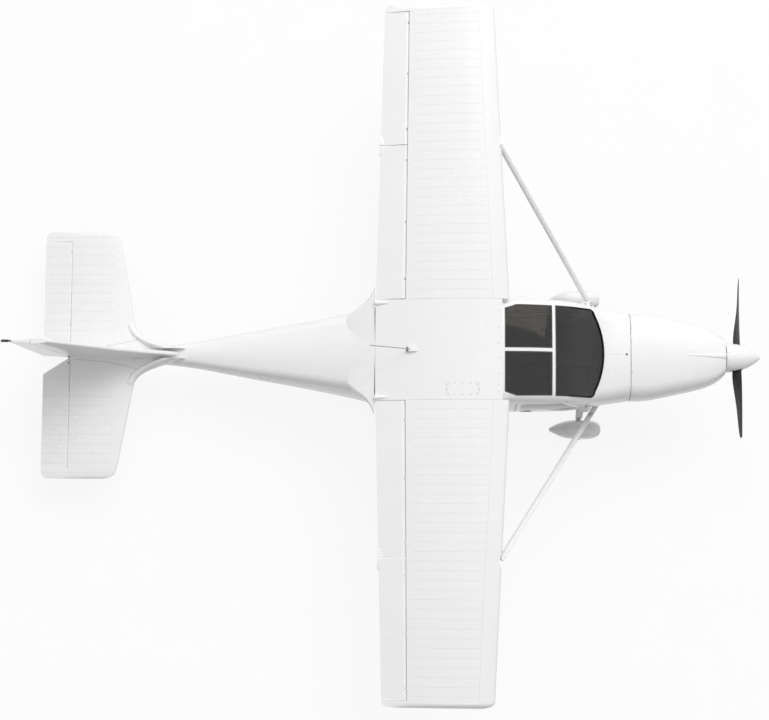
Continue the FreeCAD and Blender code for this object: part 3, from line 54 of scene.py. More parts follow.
# ------------------------------------------------------------------ level frame
PARKING_ANGLE = math.radians(8.55837)
WHEEL = Vector((0.862, 0.757, -0.900))          # left main wheel's centre
FIREWALL_X = 1.340
COWL_SPLIT_Z = -0.008
WING_ROOT_Y = 0.540
STRUT_TOP = Vector((-0.070, 2.180, 0.790))
STRUT_SEAM_Y = 2.240
STRUT_FOOT = Vector((0.985, 0.560, -0.262))
PROP_RADIUS = 0.890
SPINNER_BASE_X = 2.418
SPINNER_RADIUS = 0.165
TAILPLANE_Z = 0.285
TAILWHEEL = Vector((-4.760, 0.0, -0.150))
UP, AFT = Vector((0, 0, 1)), Vector((-1, 0, 0))
SIDES = (("left", 1), ("right", -1))


def find_level():
    """Row frame placing of the level frame, from the left wheel's joint."""
    turn = Matrix.Rotation(-PARKING_ANGLE, 4, "Y")
    return Matrix.Translation(Vector(joints["main_wheel_left_spin"]["pos_m"]) - turn @ WHEEL) @ turn


LEVEL = find_level()
LEVEL_INVERSE = LEVEL.inverted()


# ------------------------------------------------------------------ camera
CAMERA_PLACE = (-0.63, -1.79, 17.9)
CAMERA_RIGHT = (0.9991, 0.0054, -0.0406)
CAMERA_AHEAD = (-0.0410, 0.0977, -0.9941)
SENSOR_MM, LENS_MM = 36.0, 75.16


def make_camera():
    data = bpy.data.cameras.new("camera")
    cam = bpy.data.objects.new("camera", data)
    bpy.context.scene.collection.objects.link(cam)
    data.sensor_width = SENSOR_MM
    data.lens = LENS_MM
    data.clip_start, data.clip_end = 0.5, 200.0
    ahead = Vector(CAMERA_AHEAD).normalized()
    right = Vector(CAMERA_RIGHT)
    right = (right - ahead * right.dot(ahead)).normalized()
    rot = Matrix((right, right.cross(ahead), -ahead)).transposed().to_4x4()
    cam.matrix_world = LEVEL @ Matrix.Translation(CAMERA_PLACE) @ rot
    bpy.context.scene.camera = cam


make_camera()


# ------------------------------------------------------------------ light
def seen_directly(nt):
    """1 for camera, glossy and transmission rays, 0 for the rays that light the object."""
    path = nt.nodes.new("ShaderNodeLightPath")
    total = path.outputs["Is Camera Ray"]
    for name in ("Is Transmission Ray", "Is Glossy Ray"):
        either = nt.nodes.new("ShaderNodeMath")
        either.operation = "MAXIMUM"
        nt.links.new(total, either.inputs[0])
        nt.links.new(path.outputs[name], either.inputs[1])
        total = either.outputs[0]
    return total


SKY_LEFT, SKY_RIGHT = 0.80, 0.30  # strength of the sky that lights the left and the right side


def make_world():
    world = bpy.data.worlds.new("studio")
    bpy.context.scene.world = world
    world.use_nodes = True
    nt = world.node_tree
    nt.nodes.clear()
    out = nt.nodes.new("ShaderNodeOutputWorld")
    soft = nt.nodes.new("ShaderNodeBackground")
    soft.inputs["Color"].default_value = (0.985, 0.99, 1.0, 1)
    where = nt.nodes.new("ShaderNodeTexCoord")
    split = nt.nodes.new("ShaderNodeSeparateXYZ")
    nt.links.new(where.outputs["Generated"], split.inputs[0])
    fade = nt.nodes.new("ShaderNodeMapRange")
    fade.inputs["From Min"].default_value = -0.8
    fade.inputs["From Max"].default_value = 0.8
    fade.inputs["To Min"].default_value = SKY_RIGHT
    fade.inputs["To Max"].default_value = SKY_LEFT
    nt.links.new(split.outputs["Y"], fade.inputs["Value"])
    nt.links.new(fade.outputs[0], soft.inputs["Strength"])
    white = nt.nodes.new("ShaderNodeBackground")
    white.inputs["Color"].default_value = (1, 1, 1, 1)
    white.inputs["Strength"].default_value = 1.0
    mix = nt.nodes.new("ShaderNodeMixShader")
    nt.links.new(seen_directly(nt), mix.inputs[0])
    nt.links.new(soft.outputs[0], mix.inputs[1])
    nt.links.new(white.outputs[0], mix.inputs[2])
    nt.links.new(mix.outputs[0], out.inputs["Surface"])


def area_light(name, place, size, power, colour):
    """A soft rectangle turned towards LIGHT_AIM, seen in no reflection."""
    data = bpy.data.lights.new(name, "AREA")
    data.shape = "RECTANGLE"
    data.size, data.size_y = size
    data.energy = power
    data.color = colour
    lamp = bpy.data.objects.new(name, data)
    bpy.context.scene.collection.objects.link(lamp)
    lamp.visible_glossy = False
    lamp.location = place
    lamp.rotation_mode = "QUATERNION"
    lamp.rotation_quaternion = (Vector(LIGHT_AIM) - Vector(place)).to_track_quat("-Z", "Y")


bpy.context.scene.view_settings.view_transform = "Standard"
make_world()
LIGHT_AIM = (0.0, 0.0, 1.0)
LIGHTS = (
    # name, place in m, size in m, power in W, colour
    ("key", (4.0, 15.0, 24.0), (20.0, 16.0), 4700.0, (1.0, 0.993, 0.98)),
    ("fill", (-5.0, -14.0, 16.0), (14.0, 8.0), 260.0, (1.0, 0.995, 0.99)),
)
for light in LIGHTS:
    area_light(*light)


# ------------------------------------------------------------------ node helpers
class Tree:
    """Short writing for a material's nodes."""

    def __init__(self, name):
        self.mat = bpy.data.materials.new(name)
        self.mat.use_nodes = True
        self.nt = self.mat.node_tree
        self.bsdf = self.nt.nodes["Principled BSDF"]
        self.out = self.nt.nodes["Material Output"]

    def node(self, kind, **values):
        n = self.nt.nodes.new(kind)
        for key, value in values.items():
            setattr(n, key, value)
        return n

    def link(self, a, b):
        self.nt.links.new(a, b)

    def math(self, op, a, b=None, c=None, clamp=False):
        n = self.node("ShaderNodeMath", operation=op, use_clamp=clamp)
        for i, v in enumerate((a, b, c)):
            if v is None:
                continue
            if isinstance(v, (int, float)):
                n.inputs[i].default_value = v
            else:
                self.link(v, n.inputs[i])
        return n.outputs[0]

    def coords(self, level=False, scale=(1, 1, 1)):
        """Object coordinates, optionally turned back into the level frame."""
        tc = self.node("ShaderNodeTexCoord")
        vec = tc.outputs["Object"]
        if level:
            m = self.node("ShaderNodeMapping", vector_type="TEXTURE")
            m.inputs["Location"].default_value = LEVEL.to_translation()
            m.inputs["Rotation"].default_value = LEVEL.to_euler()
            self.link(vec, m.inputs["Vector"])
            vec = m.outputs["Vector"]
        if scale != (1, 1, 1):
            m = self.node("ShaderNodeMapping")
            m.inputs["Scale"].default_value = scale
            self.link(vec, m.inputs["Vector"])
            vec = m.outputs["Vector"]
        return vec

    def xyz(self, vec):
        s = self.node("ShaderNodeSeparateXYZ")
        self.link(vec, s.inputs[0])
        return s.outputs

    def noise(self, vec, scale, detail=3.0, rough=0.5):
        n = self.node("ShaderNodeTexNoise")
        n.inputs["Scale"].default_value = scale
        n.inputs["Detail"].default_value = detail
        n.inputs["Roughness"].default_value = rough
        self.link(vec, n.inputs["Vector"])
        return n.outputs["Fac"]

    def ramp(self, fac, stops):
        n = self.node("ShaderNodeValToRGB")
        while len(n.color_ramp.elements) < len(stops):
            n.color_ramp.elements.new(0.5)
        for el, (pos, col) in zip(n.color_ramp.elements, stops):
            el.position = pos
            el.color = (*col, 1) if len(col) == 3 else col
        self.link(fac, n.inputs["Fac"])
        return n.outputs["Color"]

    def grey(self, fac, lo, hi, a=0.0, b=1.0):
        n = self.node("ShaderNodeMapRange")
        n.inputs["From Min"].default_value = a
        n.inputs["From Max"].default_value = b
        n.inputs["To Min"].default_value = lo
        n.inputs["To Max"].default_value = hi
        self.link(fac, n.inputs["Value"])
        return n.outputs["Result"]

    def mix(self, fac, a, b):
        n = self.node("ShaderNodeMix", data_type="RGBA")
        if isinstance(fac, (int, float)):
            n.inputs["Factor"].default_value = fac
        else:
            self.link(fac, n.inputs["Factor"])
        for sock, v in (("A", a), ("B", b)):
            s = [i for i in n.inputs if i.name == sock and i.type == "RGBA"][0]
            if isinstance(v, tuple):
                s.default_value = (*v, 1)
            else:
                self.link(v, s)
        return [o for o in n.outputs if o.type == "RGBA"][0]

    def bump(self, height, strength, distance=0.001, normal=None):
        n = self.node("ShaderNodeBump")
        n.inputs["Strength"].default_value = strength
        n.inputs["Distance"].default_value = distance
        self.link(height, n.inputs["Height"])
        if normal is not None:
            self.link(normal, n.inputs["Normal"])
        return n.outputs["Normal"]

    def set(self, **values):
        for key, value in values.items():
            sock = self.bsdf.inputs[key.replace("_", " ")]
            if isinstance(value, (int, float, tuple)):
                if isinstance(value, tuple) and len(value) == 3 and sock.type == "RGBA":
                    value = (*value, 1)
                sock.default_value = value
            else:
                self.link(value, sock)
        return self

    def band(self, value, centre, half, soft):
        """1 within half of centre, falling to 0 over soft."""
        off = self.math("ABSOLUTE", self.math("SUBTRACT", value, centre))
        return self.grey(off, 1.0, 0.0, half, half + soft)


# ------------------------------------------------------------------ materials
def gelcoat(name, tint=(0.865, 0.868, 0.872), lines=None, rough=0.26):
    """White gloss paint with a faint mottle, soft dust and orange peel. lines(tree, level xyz) adds seams."""
    t = Tree(name)
    vec = t.coords()
    broad = t.noise(vec, 1.3, 4.0, 0.6)
    fine = t.noise(vec, 24.0, 3.0, 0.6)
    low = tuple(c * 0.975 for c in tint)
    colour = t.ramp(broad, [(0.25, low), (0.75, tint)])
    dust = t.grey(fine, 0.0, 0.06, 0.5, 0.9)
    colour = t.mix(dust, colour, tuple(c * 0.9 for c in (tint[0], tint[1] * 0.99, tint[2] * 0.97)))
    peel = t.noise(vec, 420.0, 2.0, 0.5)
    height = t.math("MULTIPLY", peel, 0.25)
    if lines:
        groove = lines(t, t.xyz(t.coords(level=True)))
        colour = t.mix(t.math("MULTIPLY", groove, 0.55), colour, (0.33, 0.34, 0.35))
        height = t.math("SUBTRACT", height, t.math("MULTIPLY", groove, 1.2))
    t.set(
        Base_Color=colour, Roughness=t.grey(broad, rough * 0.8, rough * 1.25), Coat_Weight=0.35,
        Coat_Roughness=0.08
    )
    t.set(Normal=t.bump(height, 0.25, 0.0006))
    return t.mat


def wing_lines(t, xyz):
    """Rib tapes at an even pitch between the leading edge box and the hinge line, and the box's seam."""
    x, y = xyz[0], t.math("ABSOLUTE", xyz[1])
    share = t.math("MULTIPLY", t.math("SUBTRACT", y, 0.54), 0.0508)
    edge = t.math("ADD", x, share)
    phase = t.math("FRACT", t.math("DIVIDE", t.math("ADD", y, 0.01), 0.1))
    rib = t.band(phase, 0.5, 0.012, 0.03)
    inside = t.math("MULTIPLY", t.grey(edge, 0.0, 1.0, -0.17, -0.185), t.grey(x, 0.0, 1.0, -1.05, -1.03))
    rib = t.math("MULTIPLY", t.math("MULTIPLY", rib, inside), 0.35)
    seam = t.math("MULTIPLY", t.band(edge, -0.172, 0.0008, 0.0012), 0.8)
    return t.math("MAXIMUM", rib, seam)


def tail_lines(t, xyz):
    y = t.math("ABSOLUTE", xyz[1])
    phase = t.math("FRACT", t.math("DIVIDE", y, 0.105))
    rib = t.band(phase, 0.5, 0.012, 0.03)
    inside = t.math("MULTIPLY", t.grey(xyz[0], 0.0, 1.0, -4.36, -4.38), t.grey(y, 0.0, 1.0, 0.20, 0.24))
    return t.math("MULTIPLY", t.math("MULTIPLY", rib, inside), 0.35)


WHITE = gelcoat("white_gelcoat")
WING_WHITE = gelcoat("wing_gelcoat", lines=wing_lines)
TAIL_WHITE = gelcoat("tail_gelcoat", lines=tail_lines)


def tinted_glass():
    t = Tree("tinted_glazing")
    vec = t.coords()
    haze = t.noise(vec, 3.0, 3.0)
    colour = t.ramp(haze, [(0.3, (0.20, 0.185, 0.17)), (0.7, (0.25, 0.235, 0.215))])
    t.set(
        Base_Color=colour, Roughness=t.grey(t.noise(vec, 60.0), 0.015, 0.05), IOR=1.5,
        Transmission_Weight=1.0
    )
    clear = t.node("ShaderNodeBsdfTransparent")
    clear.inputs["Color"].default_value = (0.22, 0.205, 0.19, 1)
    path = t.node("ShaderNodeLightPath")
    mix = t.node("ShaderNodeMixShader")
    t.link(path.outputs["Is Shadow Ray"], mix.inputs[0])
    t.link(t.bsdf.outputs[0], mix.inputs[1])
    t.link(clear.outputs[0], mix.inputs[2])
    t.link(mix.outputs[0], t.out.inputs["Surface"])
    return t.mat


def rubber(name):
    t = Tree(name)
    vec = t.coords()
    grain = t.noise(vec, 160.0, 4.0)
    broad = t.noise(vec, 9.0, 3.0)
    colour = t.ramp(broad, [(0.3, (0.018, 0.018, 0.019)), (0.8, (0.045, 0.044, 0.042))])
    t.set(Base_Color=colour, Roughness=t.grey(broad, 0.68, 0.86), Specular_IOR_Level=0.35)
    t.set(Normal=t.bump(grain, 0.25, 0.0008))
    return t.mat


def metal(name, colour, rough, scale=120.0, metallic=1.0, streak=(1, 1, 1)):
    t = Tree(name)
    vec = t.coords(scale=streak)
    grain = t.noise(vec, scale, 4.0, 0.6)
    broad = t.noise(vec, 6.0, 3.0)
    dark = tuple(c * 0.78 for c in colour)
    t.set(Base_Color=t.ramp(broad, [(0.25, dark), (0.75, colour)]), Metallic=metallic)
    t.set(Roughness=t.grey(grain, rough * 0.8, rough * 1.3), Normal=t.bump(grain, 0.12, 0.0004))
    return t.mat


def plastic(name, colour, rough=0.5, scale=220.0, strength=0.3):
    t = Tree(name)
    vec = t.coords()
    grain = t.noise(vec, scale, 3.0, 0.6)
    broad = t.noise(vec, 5.0, 3.0)
    dark = tuple(c * 0.75 for c in colour)
    t.set(
        Base_Color=t.ramp(broad, [(0.3, dark), (0.7, colour)]),
        Roughness=t.grey(broad, rough * 0.85, rough * 1.15)
    )
    t.set(Normal=t.bump(grain, strength, 0.0005))
    return t.mat


def cloth(name, colour, scale=1400.0):
    """Woven cloth: two crossed sets of threads, with fuzz and a little colour variation."""
    t = Tree(name)
    xyz = t.xyz(t.coords())
    warp = t.math("SINE", t.math("MULTIPLY", t.math("ADD", xyz[0], xyz[2]), scale))
    weft = t.math("SINE", t.math("MULTIPLY", xyz[1], scale))
    weave = t.math("MULTIPLY", warp, weft)
    broad = t.noise(t.coords(), 14.0, 4.0)
    dark = tuple(c * 0.6 for c in colour)
    base = t.ramp(broad, [(0.25, dark), (0.75, colour)])
    base = t.mix(t.grey(weave, 0.0, 0.35, -1.0, 1.0), base, tuple(c * 0.45 for c in colour))
    t.set(Base_Color=base, Roughness=0.9, Sheen_Weight=0.4, Sheen_Roughness=0.5)
    t.set(Normal=t.bump(weave, 0.5, 0.0006))
    return t.mat


GLASS = tinted_glass()
RUBBER = rubber("tyre_rubber")
ALLOY = metal("wheel_alloy", (0.62, 0.63, 0.64), 0.34)
STEEL = metal("zinc_steel", (0.50, 0.50, 0.49), 0.36)
DARK_METAL = metal("painted_structure", (0.20, 0.205, 0.215), 0.45, metallic=0.4)
ENGINE = metal("engine_casting", (0.16, 0.16, 0.165), 0.55, scale=60.0, metallic=0.7)
EXHAUST = metal("exhaust_steel", (0.36, 0.30, 0.25), 0.42)
BLADE = plastic("blade_composite", (0.032, 0.029, 0.027), 0.48, 400.0, 0.12)
BLACK = plastic("black_plastic", (0.035, 0.035, 0.037), 0.5)
GREY = plastic("grey_trim", (0.17, 0.17, 0.175), 0.62)
SEAM = plastic("seam_sealant", (0.30, 0.31, 0.32), 0.7)
PALE_SEAM = plastic("pale_seam", (0.56, 0.57, 0.58), 0.6)
DIAL = plastic("dial_black", (0.012, 0.012, 0.013), 0.55)
WHITE_MARK = plastic("white_marking", (0.80, 0.80, 0.78), 0.5)
SCREEN = plastic("display_screen", (0.010, 0.012, 0.016), 0.12, 300.0, 0.03)
GRIP = plastic("foam_grip", (0.045, 0.045, 0.047), 0.8, 500.0, 0.6)
KNOB_RED = plastic("knob_red", (0.42, 0.03, 0.025), 0.4)
KNOB_BLUE = plastic("knob_blue", (0.03, 0.07, 0.30), 0.4)
TIP_PAINT = plastic("blade_tip_paint", (0.62, 0.62, 0.60), 0.4, 400.0, 0.1)
WHIP = plastic("whip_sleeve", (0.30, 0.31, 0.31), 0.5)
LENS = plastic("lens_smoke", (0.05, 0.012, 0.012), 0.15, 300.0, 0.05)
BORDER = plastic("pane_border", (0.016, 0.015, 0.014), 0.3)
SEAT_CLOTH = cloth("seat_cloth", (0.13, 0.13, 0.14))
PIPING = cloth("seat_piping", (0.07, 0.07, 0.075), 2200.0)
WEBBING = cloth("harness_webbing", (0.10, 0.105, 0.12), 2600.0)
MAT = cloth("floor_mat", (0.06, 0.06, 0.063), 700.0)
TRIM_CLOTH = cloth("trim_cloth", (0.30, 0.30, 0.31), 900.0)


# ------------------------------------------------------------------ small geometry in the level frame
def tree_of(*names):
    """Search tree over the named nodes, in the level frame."""
    verts, faces = [], []
    for name in names:
        obj = nodes[name]
        base = len(verts)
        place = LEVEL_INVERSE @ obj.matrix_world
        verts += [place @ v.co for v in obj.data.vertices]
        faces += [[base + i for i in p.vertices] for p in obj.data.polygons]
    return BVHTree.FromPolygons(verts, faces)


def hit(tree, origin, direction):
    """First point and outward normal on the tree from origin along direction, or None."""
    direction = Vector(direction).normalized()
    point, normal, _, _ = tree.ray_cast(Vector(origin), direction)
    if point is None:
        return None
    return point, (normal if normal.dot(direction) < 0 else -normal)


def project(tree, points, direction, start=3.0):
    """The points moved onto the tree along direction, with normals; points that miss are left out."""
    direction = Vector(direction).normalized()
    found = [hit(tree, Vector(p) - direction * start, direction) for p in points]
    return [f for f in found if f]


def spaced(path, step, closed=False):
    """Points and normals along the path, a step apart."""
    pts = path + path[:1] if closed else path
    out, left = [pts[0]], step
    for (p, n), (q, m) in zip(pts, pts[1:]):
        length = (q - p).length
        done = 0.0
        while length - done >= left and length > 0:
            done += left
            share = done / length
            out.append((p.lerp(q, share), n.lerp(m, share).normalized()))
            left = step
        left -= length - done
    if closed and (out[-1][0] - out[0][0]).length < step * 0.5:
        out.pop()
    return out


def rounded(corners, radii, steps=6):
    """Closed outline through the corners with round corners, in two dimensions."""
    out, n = [], len(corners)
    for i in range(n):
        p, here, q = (Vector(corners[(i + k) % n]) for k in (-1, 0, 1))
        a, b = (p - here).normalized(), (q - here).normalized()
        half = math.acos(max(-1.0, min(1.0, a.dot(b)))) / 2
        reach = min(radii[i] / math.tan(half), (p - here).length * 0.49, (q - here).length * 0.49)
        centre = here + (a + b).normalized() * reach / math.cos(half)
        start, end = here + a * reach - centre, here + b * reach - centre
        sweep = start.angle_signed(end)
        for k in range(steps + 1):
            t = -sweep * k / steps
            turned = Vector(
                (
                    start.x * math.cos(t) - start.y * math.sin(t),
                    start.x * math.sin(t) + start.y * math.cos(t)
                )
            )
            out.append(centre + turned)
    return out


class Shape:
    """Mesh under construction in the level frame."""

    def __init__(self):
        self.verts, self.faces = [], []

    def add(self, verts, faces):
        base = len(self.verts)
        self.verts += [Vector(v) for v in verts]
        self.faces += [[base + i for i in f] for f in faces]
        return self

    def rings(self, rings, closed=False, caps=True):
        """Skin over equal rings of points."""
        n, count = len(rings[0]), len(rings)
        faces = []
        for i in range(count if closed else count - 1):
            a, b = i * n, (i + 1) % count * n
            faces += [[a + j, a + (j + 1) % n, b + (j + 1) % n, b + j] for j in range(n)]
        if caps and not closed:
            faces += [list(range(n))[::-1], [(count - 1) * n + j for j in range(n)]]
        return self.add([p for ring in rings for p in ring], faces)

    def tube(self, points, radius, sides=10, closed=False):
        points = [Vector(p) for p in points]
        count = len(points)
        rings, across = [], None
        for i, p in enumerate(points):
            before = points[i - 1] if i or closed else p
            after = points[(i + 1) % count] if i < count - 1 or closed else p
            along = (after - before).normalized()
            if across is None:
                across = along.orthogonal().normalized()
            across = (across - along * across.dot(along)).normalized()
            up = along.cross(across)
            r = radius[i] if isinstance(radius, (list, tuple)) else radius
            angles = [2 * math.pi * k / sides for k in range(sides)]
            rings.append([p + (across * math.cos(t) + up * math.sin(t)) * r for t in angles])
        return self.rings(rings, closed)

    def band(self, path, width, height, closed=False, sink=0.0006, crown=0.35):
        """Low strip on a surface, along (point, normal) pairs, with its sides sunk a little."""
        count = len(path)
        if count < 2:
            return self
        rings = []
        for i, (p, n) in enumerate(path):
            before = path[i - 1][0] if i or closed else p
            after = path[(i + 1) % count][0] if i < count - 1 or closed else p
            side = (after - before).cross(n).normalized()
            low, edge = p - n * sink, width * (1 - crown) / 2
            rings.append(
                [
                    low - side * width / 2, p + n * height - side * edge, p + n * height + side * edge,
                    low + side * width / 2
                ]
            )
        return self.rings(rings, closed)

    def lathe(self, profile, centre, axis, steps=32, closed=False):
        """Profile of (along the axis, radius) turned about the axis through centre."""
        axis = Vector(axis).normalized()
        across = axis.orthogonal().normalized()
        up = axis.cross(across)
        centre = Vector(centre)
        rings = []
        for k in range(steps):
            t = 2 * math.pi * k / steps
            out = across * math.cos(t) + up * math.sin(t)
            rings.append([centre + axis * a + out * r for a, r in profile])
        n = len(profile)
        faces = []
        for k in range(steps):
            a, b = k * n, (k + 1) % steps * n
            faces += [[a + j, a + j + 1, b + j + 1, b + j] for j in range(n - 1)]
            if closed:
                faces.append([a + n - 1, a, b, b + n - 1])
        return self.add([p for ring in rings for p in ring], faces)

    def block(self, centre, size, turn=None, bevel=0.002, segments=2):
        """Box with rounded edges."""
        bm = bmesh.new()
        bmesh.ops.create_cube(bm, size=1.0)
        bmesh.ops.scale(bm, vec=Vector(size), verts=bm.verts)
        if bevel:
            bmesh.ops.bevel(
                bm, geom=bm.edges[:], offset=bevel, segments=segments, affect="EDGES", profile=0.5
            )
        place = Matrix.Translation(Vector(centre)) @ (turn.to_4x4() if turn else Matrix())
        bm.verts.index_update()
        self.add([place @ v.co for v in bm.verts], [[v.index for v in f.verts] for f in bm.faces])
        bm.free()
        return self

    def screw(self, point, normal, radius=0.0055, height=0.0014):
        """Countersunk screw head with a recess."""
        profile = [
            (-0.0006, radius), (height * 0.7, radius * 0.92), (height, radius * 0.45),
            (height * 0.2, radius * 0.3)
        ]
        profile.append((height * 0.1, 0.0))
        return self.lathe(profile, point, normal, 10)

    def bolt(self, point, normal, across=0.008, height=0.006):
        """Hexagon head on a washer."""
        normal = Vector(normal).normalized()
        point = Vector(point)
        self.lathe([(0, across * 0.85), (0.0014, across * 0.85), (0.0014, 0.0)], point, normal, 14)
        head = [
            (0.0014, across * 0.55), (height, across * 0.55), (height + 0.001, across * 0.42),
            (height + 0.001, 0.0)
        ]
        return self.lathe(head, point, normal, 6)

    def piece(self, name, material, body="airframe", slot=None, smooth=40):
        """Links the mesh as an object that rides on the body, with its material. The slot argument is not
        used.
        """
        mesh = bpy.data.meshes.new(name)
        mesh.from_pydata([LEVEL @ v for v in self.verts], [], self.faces)
        bm = bmesh.new()
        bm.from_mesh(mesh)
        bmesh.ops.recalc_face_normals(bm, faces=bm.faces)
        bm.to_mesh(mesh)
        bm.free()
        if smooth:
            mesh.shade_smooth()
            mesh.set_sharp_from_angle(angle=math.radians(smooth))
        obj = bpy.data.objects.new(name, mesh)
        bpy.context.scene.collection.objects.link(obj)
        mesh.materials.append(material)
        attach(obj, body)
        return obj


# ------------------------------------------------------------------ cowling and windscreen surround
NOSE_SKIN = tree_of("cabin_shell", "cowling_upper", "cowling_lower", "windscreen")
COWLS = tree_of("cowling_upper", "cowling_lower")


def girth(tree, x, centre_z=-0.02, reach=0.75, count=120):
    """Points and normals round the body at x, from the top going left."""
    out = []
    for k in range(count):
        t = 2 * math.pi * k / count
        away = Vector((0, math.sin(t), math.cos(t)))
        found = hit(tree, Vector((x, 0, centre_z)) + away * reach, -away)
        if found:
            out.append(found)
    return out


COWL_SCREW_PITCH, COWL_SCREW_RADIUS = 0.148, 0.0062
COWL_EDGE = 0.014                # from the joint back to its screws
HOOD_FRONT_X = 1.058             # where the screen meets the hood


def cowl_fittings():
    """Joint line, split lines, screws, centre seam and latch of the cowling."""
    seam, screws, latch = Shape(), Shape(), Shape()
    ring = girth(COWLS, FIREWALL_X + 0.004)
    seam.band(ring, 0.0085, 0.0012, closed=True)
    seam.piece("cowl_joint_line", SEAM)
    behind = girth(COWLS, FIREWALL_X + COWL_EDGE)
    for point, normal in spaced(behind, COWL_SCREW_PITCH, closed=True)[1:]:
        screws.screw(point, normal, COWL_SCREW_RADIUS)
    for _, side in SIDES:
        edge = [(FIREWALL_X + 0.05 + 0.1 * k, 0, COWL_SPLIT_Z + 0.016) for k in range(10)]
        for point, normal in project(COWLS, edge, (0, -side, 0), 0.8):
            screws.screw(point, normal, COWL_SCREW_RADIUS)
    screws.piece("cowl_screws", STEEL)
    lines = [(FIREWALL_X + 0.004 + 0.02 * k, 0, COWL_SPLIT_Z + 0.0012) for k in range(52)]
    for name, side in SIDES:
        path = project(COWLS, lines, (0, -side, 0), 0.8)
        Shape().band(path, 0.004, 0.0004).piece("cowl_split_" + name, SEAM)
    middle = [(HOOD_FRONT_X + 0.01 * k, 0.0, 0) for k in range(20)]
    path = project(NOSE_SKIN, middle, -UP)
    Shape().band(path, 0.0028, 0.0004).piece("hood_centre_seam", PALE_SEAM)
    point, normal = project(NOSE_SKIN, [(FIREWALL_X - 0.045, 0, 0)], -UP)[0]
    dished = [(-0.001, 0.0115), (0.0022, 0.0105), (0.003, 0.008), (0.0022, 0.005), (0.0024, 0)]
    latch.lathe(dished, point, normal, 24)
    latch.piece("hood_latch", BLACK)


PANES = {
    "windscreen": "airframe", "roof_windows": "airframe",
    "door_window_left": "left_door", "door_window_right": "right_door",
}
PANE_THICKNESS = 0.005
CABIN_MIDDLE = Vector((0.3, 0.0, 0.25))


def screen_gaskets():
    """Rubber line round each pane, and a printed border inside it."""
    for node, body in PANES.items():
        for index, (outer, inner) in enumerate(pane_loops(node)):
            tag = node if index == 0 else "%s_%d" % (node, index + 1)
            Shape().band(outer, 0.0045, 0.0012, closed=True).piece("gasket_" + tag, BLACK, body)
            Shape().band(inner, 0.024, 0.0007, closed=True, crown=0.1).piece("border_" + tag, BORDER, body)


def pane_loops(node):
    """For each pane in the node: its outline on the outer face, and a line 15 mm in from it on the
    inner face."""
    obj = nodes[node]
    bm = bmesh.new()
    bm.from_mesh(obj.data)
    bm.transform(LEVEL_INVERSE @ obj.matrix_world)
    bmesh.ops.remove_doubles(bm, verts=bm.verts, dist=1e-5)
    bm.normal_update()
    tree = BVHTree.FromBMesh(bm)
    outer = set()
    for face in bm.faces:
        middle = face.calc_center_median()
        into, _, _, far = tree.ray_cast(middle - face.normal * 1e-5, -face.normal)
        thin = into is not None and far < PANE_THICKNESS * 2.2
        if thin and face.normal.dot(middle - CABIN_MIDDLE) > 0:
            outer.add(face)
    rim = [e for e in bm.edges if sum(f in outer for f in e.link_faces) == 1]
    links = {}
    for e in rim:
        for v in e.verts:
            links.setdefault(v, []).append(e.other_vert(v))
    loops, seen = [], set()
    for start in links:
        if start in seen or len(links[start]) != 2:
            continue
        loop, here, before = [start], links[start][0], start
        seen.add(start)
        while here is not start and here not in seen and len(links[here]) == 2:
            seen.add(here)
            loop.append(here)
            here, before = [v for v in links[here] if v is not before][0], here
        if here is start and len(loop) > 8:
            loops.append(loop)
    result = []
    for loop in loops:
        centre = sum((v.co for v in loop), Vector()) / len(loop)
        outline = []
        for v in loop:
            faces = [f for f in v.link_faces if f in outer]
            outline.append((v.co.copy(), sum((f.normal for f in faces), Vector()).normalized()))
        outline = spaced(outline, 0.012, closed=True)
        inner = []
        for i, (p, n) in enumerate(outline):
            along = (outline[(i + 1) % len(outline)][0] - outline[i - 1][0]).normalized()
            inward = n.cross(along)
            if inward.dot(centre - p) < 0:
                inward = -inward
            q = p + inward * 0.014 - n * (PANE_THICKNESS + 0.0012)
            inner.append((q, -n))
        result.append((outline, inner))
    bm.free()
    return result


# ------------------------------------------------------------------ wing and tail lines
TOP_SKIN = tree_of("wing_center_section", "wing_left", "wing_right", "rear_fuselage", "cabin_shell")
TAIL_TOP = tree_of("horizontal_stabilizer")


ACCESS_PANEL = (-0.325, -0.675, -0.358, -0.498)     # front, rear, inner and outer edge
CENTRE_SCREW_X = -0.118
CENTRE_SCREW_Y = (0.413, 0.23, 0.06, -0.093, -0.26, -0.377, -0.45)


